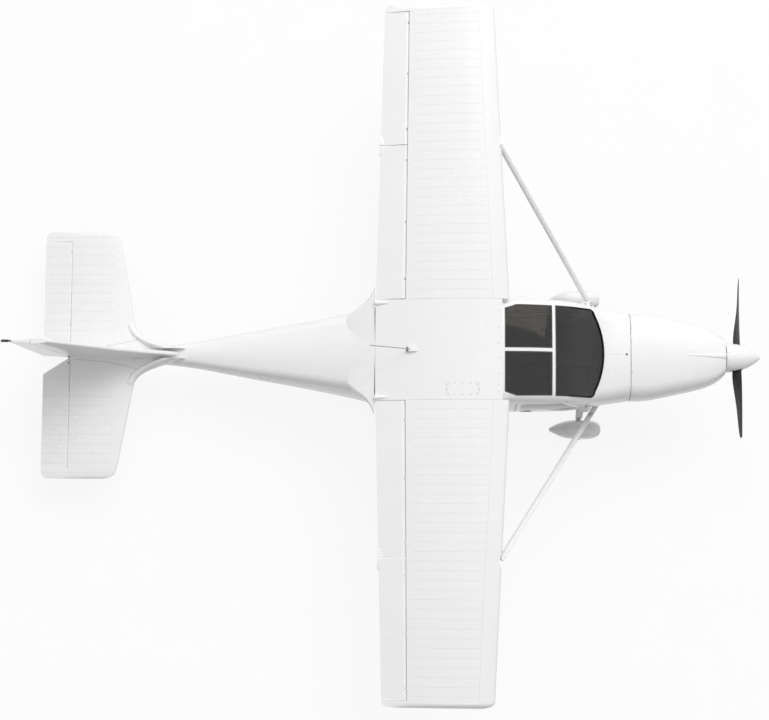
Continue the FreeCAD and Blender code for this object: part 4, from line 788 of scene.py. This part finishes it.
def wing_fittings():
    """Access panel, screws and seams on the top of the wing."""
    screws, outline = Shape(), []
    front, rear, near, far = ACCESS_PANEL
    for p in rounded([(front, near), (rear, near), (rear, far), (front, far)], [0.034] * 4):
        outline.append((p.x, p.y, 0))
    panel = spaced(project(TOP_SKIN, outline, -UP), 0.01, closed=True)
    Shape().band(panel, 0.0026, 0.0004, closed=True).piece("access_panel_edge", SEAM)
    inset = 0.011
    rows = [
        (x, y) for x in (front - 0.09, (front + rear) / 2, rear + 0.09) for y in (near - inset, far + inset)
    ]
    rows += [(front - inset, (near + far) / 2), (rear + inset, (near + far) / 2)]
    rows += [(x, y) for x in (front - 0.022, rear + 0.022) for y in (near - 0.022, far + 0.022)]
    rows += [(CENTRE_SCREW_X, y) for y in CENTRE_SCREW_Y]
    for point, normal in project(TOP_SKIN, [(x, y, 0) for x, y in rows], -UP):
        screws.screw(point, normal, 0.0058)
    screws.piece("wing_screws", STEEL)
    for name, side in SIDES:
        seam = [(-0.02 - 0.02 * k, side * WING_ROOT_Y, 0) for k in range(53)]
        path = project(TOP_SKIN, seam, -UP)
        Shape().band(path, 0.0036, 0.0005).piece("wing_root_seam_" + name, PALE_SEAM)
    for name, side in SIDES:
        tie = [(-0.11 - 0.02 * k, side * STRUT_SEAM_Y, 0) for k in range(4)]
        path = project(TOP_SKIN, tie, -UP)
        Shape().band(path, 0.0022, 0.0004).piece("strut_fairing_seam_" + name, PALE_SEAM)


# x and distance from the middle of the seam where the tail fillet ends on the tailplane
FILLET_SEAM = ((-4.80, 0.060), (-4.60, 0.072), (-4.40, 0.094), (-4.20, 0.135), (-4.08, 0.170))
ELEVATOR_PIN_X = -4.868


def tail_fittings():
    """Fillet seams, elevator root pins and the tail light's lens."""
    for name, side in SIDES:
        dense = spaced([(Vector((x, side * y, 0)), UP) for x, y in FILLET_SEAM], 0.02)
        path = project(TAIL_TOP, [p for p, _ in dense], -UP)
        Shape().band(path, 0.0034, 0.0006).piece("tail_fillet_seam_" + name, SEAM)
    horn = Shape()
    for _, side in SIDES:
        horn.block((ELEVATOR_PIN_X, side * 0.098, TAILPLANE_Z + 0.026), (0.012, 0.006, 0.014), bevel=0.0015)
        pin = [(ELEVATOR_PIN_X, side * y, TAILPLANE_Z + 0.028) for y in (0.088, 0.108)]
        horn.tube(pin, 0.0035, 10)
    horn.piece("elevator_root_pins", BLACK)
    lens = Shape().lathe(
        [(0, 0.013), (0.010, 0.012), (0.016, 0.007), (0.018, 0)], (-5.236, 0, 1.6543), AFT, 24
    )
    lens.piece("tail_light_lens", LENS, "rudder")


# ------------------------------------------------------------------ struts and wheels
CLAMP_PLACES = (0.075, 0.100)    # distance of each band from the strut's foot


def strut_fittings():
    """Two clamp bands with their bolts at each strut's foot."""
    for name, side in SIDES:
        tree = tree_of("wing_strut_" + name)
        foot = Vector((STRUT_FOOT.x, side * STRUT_FOOT.y, STRUT_FOOT.z))
        top = Vector((STRUT_TOP.x, side * STRUT_TOP.y, STRUT_TOP.z))
        axis = (top - foot).normalized()
        across = axis.cross(Vector((1, 0, 0))).normalized()
        along = across.cross(axis).normalized()
        clamp = Shape()
        for distance in CLAMP_PLACES:
            centre, ring = foot + axis * distance, []
            for k in range(40):
                t = 2 * math.pi * k / 40
                away = (along * math.cos(t) + across * math.sin(t)).normalized()
                found = hit(tree, centre + away * 0.2, -away)
                if found:
                    ring.append(found)
            clamp.band(ring, 0.012, 0.0022, closed=True)
        for distance in CLAMP_PLACES:
            found = hit(tree, foot + axis * distance + across * 0.2, -across)
            if found:
                clamp.bolt(found[0] + found[1] * 0.002, found[1])
        clamp.piece("strut_clamp_" + name, STEEL)


TYRE_HALF, TYRE_BEAD, TYRE_RADIUS = 0.059, 0.0886, 0.185


def tyre_profile():
    """Tyre section with three grooves in the tread, a shoulder and a raised line on each side wall."""
    tread = []
    grooves = (-0.026, 0.0, 0.026)
    edge = TYRE_HALF * 0.80
    w = -edge
    while w <= edge + 1e-9:
        dip = max((1 - abs(w - g) / 0.0042) for g in grooves)
        radius = TYRE_RADIUS - 0.013 * (w / (TYRE_HALF * 0.8)) ** 2
        tread.append((w, radius - (0.0045 if dip > 0.25 else 0.0)))
        w += 0.0016
    wall = []
    for k in range(15):
        t = k / 14
        r = TYRE_BEAD + 0.002 + (TYRE_RADIUS * 0.93 - TYRE_BEAD - 0.002) * t
        out = TYRE_HALF * (0.62 + 0.38 * math.sin(math.pi * min(1.0, 0.1 + t * 0.62)) ** 0.7)
        wall.append(
            (min(out, TYRE_HALF * 0.995) - (0.0 if t < 0.95 else 0.004) + (0.0006 if k in (4, 9) else 0), r)
        )
    left = [(-a, r) for a, r in wall]
    bead = [(-TYRE_HALF * 0.6, TYRE_BEAD), (TYRE_HALF * 0.6, TYRE_BEAD)]
    return [bead[0]] + left + tread + wall[::-1] + [bead[1]]


def wheel_fittings():
    """Tyre with its tread, wheel bolts, brake disc, valve and axle nut on each side."""
    for name, side in SIDES:
        centre = Vector((WHEEL.x, side * WHEEL.y, WHEEL.z))
        axis, body = Vector((0, side, 0)), name + "_wheel"
        tyre = Shape().lathe(tyre_profile(), centre, axis, 96, closed=True)
        obj = tyre.piece("tyre_" + name, RUBBER, body, smooth=30)
        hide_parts("main_tyre_" + name)
        bolts = Shape()
        for face in (-1, 1):
            for k in range(6):
                t = math.pi / 3 * k
                out = Vector((math.cos(t), 0, math.sin(t)))
                bolts.bolt(centre + axis * face * 0.0083 + out * 0.056, axis * face, 0.009, 0.006)
        bolts.piece("wheel_bolts_" + name, STEEL, body)
        disc = Shape().lathe(
            [(-0.0335, 0.040), (-0.0335, 0.074), (-0.0375, 0.074), (-0.0375, 0.040)], centre, axis, 48, True
        )
        disc.piece("brake_disc_" + name, STEEL, body)
        valve = Shape().tube(
            [centre + axis * 0.012 + AFT * 0.068, centre + axis * 0.036 + AFT * 0.070], 0.0035, 10
        )
        valve.piece("tyre_valve_" + name, BLACK, body)
        nut = Shape().lathe(
            [(0, 0.0145), (0.012, 0.0145), (0.0135, 0.0125), (0.0135, 0)], centre + axis * 0.1062, axis, 6
        )
        nut.piece("axle_nut_" + name, STEEL)


def fairing_fittings():
    """Joint between the halves of each wheel fairing, with its screws."""
    for name, side in SIDES:
        tree = tree_of("wheel_fairing_" + name)
        line = [(0.56 + 0.012 * k, side * WHEEL.y, 0) for k in range(45)]
        path = project(tree, line, -UP)
        Shape().band(path, 0.0026, 0.0005).piece("fairing_seam_" + name, PALE_SEAM)
        screws = Shape()
        for x in (0.60, 0.74, 0.88, 1.02):
            for face in (1, -1):
                found = hit(tree, (x, side * WHEEL.y + face * 0.4, WHEEL.z + 0.03), (0, -face, 0))
                if found:
                    screws.screw(found[0], found[1], 0.006)
        screws.piece("fairing_screws_" + name, STEEL)


def tailwheel_fittings():
    """Axle and hub bolts of the tailwheel, and the bolts of its spring."""
    bolts = Shape()
    for side in (1, -1):
        bolts.bolt(TAILWHEEL + Vector((0, side * 0.0490, 0)), (0, side, 0), 0.013, 0.006)
    bolts.piece("tailwheel_axle_bolts", STEEL, "tailwheel_fork")
    hubs = Shape()
    for side in (1, -1):
        for k in range(5):
            t = 2 * math.pi * k / 5
            out = Vector((math.cos(t), 0, math.sin(t)))
            hubs.bolt(TAILWHEEL + Vector((0, side * 0.0042, 0)) + out * 0.025, (0, side, 0), 0.0045, 0.003)
    hubs.piece("tailwheel_hub_bolts", STEEL, "tailwheel")
    spring = Shape()
    tree = tree_of("tailwheel_spring")
    for x in (-4.30, -4.25):
        for y in (-0.017, 0.017):
            found = hit(tree, (x, y, -0.4), (0, 0, 1))
            if found:
                spring.bolt(found[0], found[1], 0.010, 0.007)
    spring.piece("tail_spring_bolts", STEEL)


# ------------------------------------------------------------------ propeller and spinner
def propeller_fittings():
    """Screws round the spinner's edge and the plate that closes it."""
    screws = Shape()
    skin = tree_of("spinner")
    for k in range(12):
        t = 2 * math.pi * (k + 0.5) / 12
        away = Vector((0, math.cos(t), math.sin(t)))
        found = hit(skin, Vector((SPINNER_BASE_X + 0.022, 0, 0)) + away * 0.4, -away)
        if found:
            screws.screw(found[0], found[1], 0.0055)
    screws.piece("spinner_screws", STEEL, "propeller")
    plate = Shape().lathe(
        [(0.0, 0.03), (0.0, SPINNER_RADIUS - 0.012), (0.0035, SPINNER_RADIUS - 0.010), (0.0035, 0.03)],
        (SPINNER_BASE_X - 0.0045, 0, 0), (1, 0, 0), 64, True,
    )
    plate.piece("spinner_backplate", BLACK, "propeller")


# ------------------------------------------------------------------ cockpit
PANEL_FACE = tree_of("instrument_panel")


def cockpit_fittings():
    face_x = 0.914

    def on_panel(y, z):
        found = hit(PANEL_FACE, (0.2, y, z), (1, 0, 0))
        return found if found else (Vector((face_x, y, z)), AFT)

    rims, faces, hands = Shape(), Shape(), Shape()
    dials = [(y, z, 0.040) for y in (0.33, 0.235, 0.14) for z in (0.315, 0.22)]
    dials += [(-0.12 - 0.075 * k, 0.325, 0.029) for k in range(4)]
    for index, (y, z, r) in enumerate(dials):
        point, normal = on_panel(y, z)
        rims.lathe(
            [(0, r), (0.006, r), (0.007, r * 0.93), (0.003, r * 0.86), (0, r * 0.86)], point, normal, 36
        )
        faces.lathe([(0.0022, r * 0.87), (0.0022, 0.0)], point, normal, 36)
        ticks = 12 if r > 0.035 else 8
        across = normal.cross(UP).normalized()
        up = across.cross(normal).normalized()
        for k in range(ticks):
            t = 2 * math.pi * k / ticks
            out = across * math.cos(t) + up * math.sin(t)
            hands.tube(
                [point + normal * 0.0028 + out * r * 0.68, point + normal * 0.0028 + out * r * 0.80],
                0.0007, 4
            )
        t = 0.7 + index * 1.31
        out = across * math.cos(t) + up * math.sin(t)
        hands.tube(
            [point + normal * 0.0034 - out * r * 0.15, point + normal * 0.0034 + out * r * 0.66],
            [0.0012, 0.0005], 5
        )
    rims.piece("dial_bezels", BLACK)
    faces.piece("dial_faces", DIAL)
    hands.piece("dial_hands", WHITE_MARK)
    point, normal = on_panel(-0.24, 0.225)
    turn = (normal.to_track_quat("X", "Z")).to_matrix()
    Shape().block(point + normal * 0.006, (0.012, 0.215, 0.125), turn, 0.005, 3).piece(
        "display_case", BLACK
    )
    screen = Shape().block(point + normal * 0.0118, (0.002, 0.190, 0.104), turn, 0.0008)
    screen.piece("display_glass", SCREEN)
    switches = Shape()
    for k in range(10):
        point, normal = on_panel(0.36 - 0.032 * k, 0.150)
        switches.lathe([(0, 0.0055), (0.003, 0.0055), (0.004, 0.0035), (0.004, 0)], point, normal, 12)
        switches.tube([point, point + normal * 0.016 + UP * 0.004], [0.0018, 0.0026], 8)
    switches.piece("panel_switches", ALLOY)
    for y, colour in ((0.035, BLACK), (-0.005, KNOB_RED), (-0.045, KNOB_BLUE)):
        point, normal = on_panel(y, 0.155)
        Shape().tube([point, point + normal * 0.034], 0.0035, 8).lathe(
            [
                (0.030, 0.0), (0.030, 0.008), (0.034, 0.0125), (0.044, 0.0125), (0.048, 0.008), (0.048, 0)
            ], point, normal, 24
        ).piece("engine_knob_%d" % round(y * 1000 + 100), colour)
    edge = [on_panel(0.50 - 0.02 * k, 0.395) for k in range(51)]
    Shape().tube([p + n * 0.002 for p, n in edge], 0.0055, 10).piece("glareshield_roll", TRIM_CLOTH)
    compass = Shape().block((0.955, 0.0, 0.428), (0.052, 0.058, 0.044), bevel=0.010, segments=4)
    compass.piece("compass_case", BLACK)
    window = Shape().block((0.9285, 0.0, 0.430), (0.003, 0.040, 0.022), bevel=0.001)
    window.piece("compass_window", DIAL)
    for name, side in SIDES:
        grip = Shape()
        low, high = Vector((0.430, side * 0.240, 0.020)), Vector((0.415, side * 0.240, 0.140))
        axis = (high - low).normalized()
        profile = [(-0.004, 0.0), (-0.004, 0.018)]
        for k in range(25):
            t = k / 24
            profile.append((t * 0.121, 0.0192 + 0.0018 * math.cos(t * 8 * math.pi) + 0.003 * t))
        profile += [(0.126, 0.016), (0.128, 0.0)]
        grip.lathe(profile, low, axis, 28)
        grip.piece("stick_grip_" + name, GRIP)
        button = Shape().lathe(
            [(0, 0.006), (0.004, 0.006), (0.006, 0.004), (0.006, 0)], high + axis * 0.006, axis, 16
        )
        button.piece("stick_button_" + name, KNOB_RED)
    mat = Shape()
    for side in (1, -1):
        outline = rounded(
            [(0.56, side * 0.06), (0.56, side * 0.44), (1.10, side * 0.40), (1.10, side * 0.06)], [0.04] * 4
        )
        ring = [Vector((p.x, p.y, -0.3215)) for p in outline]
        mat.rings([ring, [p + UP * 0.006 for p in ring]])
    mat.piece("floor_mats", MAT, smooth=30)
    pads = Shape()
    for y in (-0.33, -0.17, 0.17, 0.33):
        for k in range(6):
            pads.block((1.1588, y, -0.163 + 0.0135 * k), (0.004, 0.082, 0.006), bevel=0.0012)
    pads.piece("pedal_ribs", RUBBER, slot="dark_plastic")


# ------------------------------------------------------------------ doors
# corners of the seal inside the door's edge, x and z
DOOR_SEAL = ((0.846, -0.268), (0.846, 0.292), (0.583, 0.648), (0.100, 0.669), (0.100, -0.268))


def door_fittings():
    """Handle, lock, inside pull and seal of each door."""
    for name, side in SIDES:
        body, tree = name + "_door", tree_of("door_" + name)
        out = Vector((0, side, 0))
        found = hit(tree, (0.205, side * 0.9, 0.150), -out)
        point, normal = found
        plate = Shape()
        ring = [
            Vector((0.205 + p.x, 0, 0.150 + p.y)) for p in rounded(
                [(-0.06, -0.019), (0.06, -0.019), (0.06, 0.019), (-0.06, 0.019)], [0.018] * 4
            )
        ]
        seated = [hit(tree, (p.x, side * 0.9, p.z), -out) for p in ring]
        plate.rings([[f[0] - f[1] * 0.001 for f in seated], [f[0] + f[1] * 0.003 for f in seated]])
        plate.piece("door_handle_plate_" + name, BLACK, body)
        lever = Shape().block(
            point + normal * 0.0062 + Vector((0.012, 0, 0)), (0.084, 0.005, 0.014), bevel=0.0022, segments=3
        )
        lever.piece("door_lever_" + name, ALLOY, body)
        point, normal = hit(tree, (0.145, side * 0.9, 0.095), -out)
        barrel = [(-0.001, 0.010), (0.002, 0.010), (0.003, 0.008), (0.0028, 0)]
        lock = Shape().lathe(barrel, point, normal, 24)
        lock.piece("door_lock_" + name, STEEL, body)
        inner = hit(tree, (0.30, 0.0, 0.205), out)
        if inner:
            p, n = inner
            # along the door, out from the door
            rows = ((-0.075, 0.002), (-0.05, 0.026), (0.0, 0.030), (0.05, 0.026), (0.075, 0.002))
            pull = [p + n * away + Vector((along, 0, 0)) for along, away in rows]
            Shape().tube(pull, 0.007, 10).piece("door_pull_" + name, BLACK, body)
        line = rounded(DOOR_SEAL, [0.06] * len(DOOR_SEAL), 5)
        path = []
        for p in line:
            found = hit(tree, (p.x, 0.0, p.y), out)
            if found:
                path.append((found[0], found[1]))
        path = spaced(path, 0.02, closed=True)
        seal = Shape().tube([p + n * 0.004 for p, n in path], 0.0045, 8, closed=True)
        seal.piece("door_seal_" + name, BLACK, body)


# ------------------------------------------------------------------ seats
def loose_parts(node):
    """The node's separate solids as meshes in the level frame."""
    obj = nodes[node]
    bm = bmesh.new()
    bm.from_mesh(obj.data)
    bm.transform(LEVEL_INVERSE @ obj.matrix_world)
    bmesh.ops.remove_doubles(bm, verts=bm.verts, dist=1e-5)
    bm.verts.index_update()
    bm.verts.ensure_lookup_table()
    seen, parts = set(), []
    for first in bm.verts:
        if first.index in seen:
            continue
        seen.add(first.index)
        stack, group = [first.index], []
        while stack:
            here = stack.pop()
            group.append(here)
            for e in bm.verts[here].link_edges:
                w = e.other_vert(bm.verts[here]).index
                if w not in seen:
                    seen.add(w)
                    stack.append(w)
        order = {index: i for i, index in enumerate(group)}
        faces = [[order[v.index] for v in f.verts] for f in bm.faces if f.verts[0].index in order]
        parts.append(([bm.verts[index].co.copy() for index in group], faces))
    bm.free()
    return parts


def apply_modifiers(obj):
    mesh = bpy.data.meshes.new_from_object(obj.evaluated_get(bpy.context.evaluated_depsgraph_get()))
    old = obj.data
    obj.modifiers.clear()
    obj.data = mesh
    bpy.data.meshes.remove(old)


FOAM_PRESSURE, FOAM_FRAMES = 4.0, 20
SWELL = 0.012                    # how far the cover may move when the foam fills it


def stuffed(name, verts, faces, place):
    """A pad in its own frame, x across its thickness from the base: shrunk, remeshed, swollen as
    cloth and subdivided."""
    low = Vector([min(v[i] for v in verts) for i in range(3)])
    high = Vector([max(v[i] for v in verts) for i in range(3)])
    centre, size = (low + high) / 2, high - low
    shrink = Vector([1 - 2 * SWELL * 0.55 / s for s in size])
    mesh = bpy.data.meshes.new(name)
    mesh.from_pydata([centre + (v - centre) * shrink for v in verts], [], faces)
    obj = bpy.data.objects.new(name, mesh)
    bpy.context.scene.collection.objects.link(obj)
    remesh = obj.modifiers.new("even", "REMESH")
    remesh.mode = "VOXEL"
    remesh.voxel_size = 0.010
    apply_modifiers(obj)
    start = [v.co.copy() for v in obj.data.vertices]
    cloth = obj.modifiers.new("foam", "CLOTH")
    cloth.settings.use_pressure = True
    cloth.settings.uniform_pressure_force = FOAM_PRESSURE
    cloth.settings.effector_weights.gravity = 0.0
    cloth.point_cache.frame_start, cloth.point_cache.frame_end = 1, FOAM_FRAMES
    for step in range(1, FOAM_FRAMES + 1):
        bpy.context.scene.frame_set(step)
    apply_modifiers(obj)
    bpy.context.scene.frame_set(1)
    for v, before in zip(obj.data.vertices, start):
        move = v.co - before
        if move.length > SWELL:
            v.co = before + move * (SWELL / move.length)
        v.co.x = max(v.co.x, low.x)
    smooth = obj.modifiers.new("smooth", "SUBSURF")
    smooth.levels = smooth.render_levels = 1
    apply_modifiers(obj)
    quilt(obj, low, high)
    obj.data.transform(LEVEL @ place)
    obj.data.shade_smooth()
    return obj


def quilt(obj, low, high):
    """Sewn channels on the face that people lean on: three along the pad and one across it."""
    obj.data.update()
    rows = [low.y + (high.y - low.y) * s for s in (0.20, 0.5, 0.80)]
    cross = low.z + (high.z - low.z) * 0.70
    for v in obj.data.vertices:
        if v.co.x < (low.x + high.x) / 2 or v.normal.x < 0.3:
            continue
        near = min(abs(v.co.y - y) for y in rows)
        near = min(near, abs(v.co.z - cross)) if rows[0] < v.co.y < rows[2] else near
        v.co.x -= 0.0055 * math.exp(-((near / 0.0065) ** 2))


BACK_TILT = math.atan2(0.262, 0.635)


def seats():
    """Soft pads in place of the plain solids, with their piping."""
    turns = {
        "seat_cushions": Matrix.Rotation(math.radians(90), 4, "Y"),
        "seat_backrests": Matrix.Rotation(BACK_TILT, 4, "Y"),
    }
    for node, turn in turns.items():
        for verts, faces in loose_parts(node):
            side = "left" if sum(v.y for v in verts) > 0 else "right"
            name = node[:-1] + "_" + side
            flat = [turn @ v for v in verts]
            obj = stuffed(name, flat, faces, turn.inverted())
            obj.data.materials.append(SEAT_CLOTH)
            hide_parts(node)
            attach(obj, "airframe")
            piping(obj, name, flat, turn)


def piping(obj, name, flat, turn):
    """Cord sewn into the seam round the pad's front edge."""
    low = Vector([min(v[i] for v in flat) for i in range(3)])
    high = Vector([max(v[i] for v in flat) for i in range(3)])
    place = (LEVEL @ turn.inverted()).inverted()
    tree = BVHTree.FromPolygons(
        [place @ v.co for v in obj.data.vertices], [list(p.vertices) for p in obj.data.polygons]
    )
    inset = 0.020
    corners = [
        (low.y + inset, low.z + inset), (high.y - inset, low.z + inset), (high.y - inset, high.z - inset),
        (low.y + inset, high.z - inset)
    ]
    path = []
    for p in rounded(corners, [0.035] * 4, 8):
        path.append((Vector((high.x + 0.1, p.x, p.y)), UP))
    seat = []
    for p, _ in spaced(path, 0.015, closed=True):
        point, _, _, _ = tree.ray_cast(p, Vector((-1, 0, 0)))
        if point is not None:
            seat.append(turn.inverted() @ (point + Vector((0.0006, 0, 0))))
    Shape().tube(seat, 0.0028, 8, closed=True).piece(name + "_piping", PIPING)


SEAT_MIDDLE_Y = 0.2575
LAP_HALF = 0.19                  # half the lap strap's way across the cushion
SHOULDER_HALF = 0.085            # half the gap between the shoulder straps at their top


def belts():
    """Lap and shoulder webbing lying on each seat, with buckles."""
    for name, side in SIDES:
        cushion = bpy.data.objects["seat_cushion_" + name]
        rest = bpy.data.objects["seat_backrest_" + name]
        trees = []
        for obj in (cushion, rest):
            verts = [LEVEL_INVERSE @ obj.matrix_world @ v.co for v in obj.data.vertices]
            trees.append(BVHTree.FromPolygons(verts, [list(p.vertices) for p in obj.data.polygons]))
        middle = side * SEAT_MIDDLE_Y
        web = Shape()
        lap = []
        for k in range(24):
            y = middle - LAP_HALF + 2 * LAP_HALF * k / 23
            x = 0.13 + 0.035 * math.cos((y - middle) / LAP_HALF * math.pi / 2)
            found = hit(trees[0], (x, y, 0.3), -UP)
            if found:
                lap.append((found[0] + found[1] * 0.0012, found[1]))
        web.band(lap, 0.046, 0.0022, crown=0.12, sink=0.0)
        for across in (-SHOULDER_HALF, SHOULDER_HALF):
            down = []
            for k in range(30):
                t = k / 29
                z = 0.315 - 0.40 * t
                y = middle + across * (1 - 0.25 * t)
                found = hit(trees[1], (0.5, y, z), AFT)
                if found:
                    down.append((found[0] + found[1] * 0.0012, found[1]))
            web.band(down, 0.044, 0.0022, crown=0.12, sink=0.0)
        web.piece("harness_" + name, WEBBING, smooth=30)
        point, normal = lap[len(lap) // 2]
        turn = normal.to_track_quat("Z", "X").to_matrix()
        buckle = Shape().block(point + normal * 0.008, (0.056, 0.050, 0.014), turn, 0.004, 3)
        buckle.piece("buckle_" + name, BLACK)
        button = Shape().block(point + normal * 0.0155, (0.030, 0.026, 0.003), turn, 0.001)
        button.piece("buckle_button_" + name, KNOB_RED)


# ------------------------------------------------------------------ finishes of the CAD nodes
FINISH = {
    WHITE: (
        "cabin_shell cowling_upper cowling_lower rear_fuselage wing_center_section wing_tips wing_strut_left "
        "wing_strut_right whip_antenna fin gear_leg_left gear_leg_right wheel_fairing_left "
        "wheel_fairing_right door_left door_right rudder spinner"
    ),
    WING_WHITE: "wing_left wing_right aileron_left aileron_right flap_left flap_right",
    TAIL_WHITE: "horizontal_stabilizer elevator_left elevator_right",
    GLASS: "windscreen roof_windows door_window_left door_window_right",
    GREY: "cabin_floor",
    STEEL: "firewall tailwheel_spring tailwheel_fork elevator_tube",
    DARK_METAL: "seat_frame engine_mount",
    BLACK: "instrument_panel control_sticks tail_light",
    SEAT_CLOTH: "seat_cushions seat_backrests",
    TRIM_CLOTH: "rear_bulkhead",
    ALLOY: "rudder_pedals main_rim_left main_rim_right",
    ENGINE: "engine_block",
    EXHAUST: "exhaust_pipe",
    RUBBER: "main_tyre_left main_tyre_right tailwheel",
    BLADE: "propeller",
}


def paint_nodes():
    for material, names in FINISH.items():
        for name in names.split():
            mesh = nodes[name].data
            mesh.materials.clear()
            mesh.materials.append(material)


def second_finish(node, material, chosen):
    """Gives the node's faces whose centre, in the level frame, is chosen a second material."""
    obj = nodes[node]
    obj.data.materials.append(material)
    place = LEVEL_INVERSE @ obj.matrix_world
    for face in obj.data.polygons:
        if chosen(place @ face.center):
            face.material_index = 1


paint_nodes()
second_finish("propeller", TIP_PAINT, lambda p: abs(p.y) > PROP_RADIUS - 0.012)
second_finish("whip_antenna", WHIP, lambda p: p.x < -1.075)
second_finish("tailwheel", ALLOY, lambda p: math.hypot(p.x - TAILWHEEL.x, p.z - TAILWHEEL.z) < 0.0402)

cowl_fittings()
screen_gaskets()
wing_fittings()
tail_fittings()
strut_fittings()
wheel_fittings()
fairing_fittings()
tailwheel_fittings()
propeller_fittings()
cockpit_fittings()
door_fittings()
seats()
belts()


# ------------------------------------------------------------------ floor
FLOOR_REACH = 60                 # half the floor's side
FLOOR_GLOW = 0.88                # share of plain white where the floor is seen; the rest holds the shadow


def make_floor():
    """White floor that keeps the shadow where it is seen, and throws back less light than it shows."""
    mesh = bpy.data.meshes.new("floor")
    reach = FLOOR_REACH
    corners = [(-reach, -reach, 0), (reach, -reach, 0), (reach, reach, 0), (-reach, reach, 0)]
    mesh.from_pydata(corners, [], [(0, 1, 2, 3)])
    floor = bpy.data.objects.new("floor", mesh)
    bpy.context.scene.collection.objects.link(floor)
    t = Tree("floor_white")
    grain = t.noise(t.coords(), 2.0, 2.0)
    pale = t.ramp(grain, [(0.3, (0.84, 0.84, 0.845)), (0.7, (0.87, 0.87, 0.872))])
    grey = t.ramp(grain, [(0.3, (0.40, 0.40, 0.40)), (0.7, (0.44, 0.44, 0.44))])
    t.set(Base_Color=t.mix(seen_directly(t.nt), grey, pale), Roughness=0.9)
    glow = t.node("ShaderNodeEmission")
    glow.inputs["Color"].default_value = (1, 1, 1, 1)
    glow.inputs["Strength"].default_value = 1.0
    mix = t.node("ShaderNodeMixShader")
    t.link(t.math("MULTIPLY", seen_directly(t.nt), FLOOR_GLOW), mix.inputs[0])
    t.link(t.bsdf.outputs[0], mix.inputs[1])
    t.link(glow.outputs[0], mix.inputs[2])
    t.link(mix.outputs[0], t.out.inputs["Surface"])
    mesh.materials.append(t.mat)


make_floor()
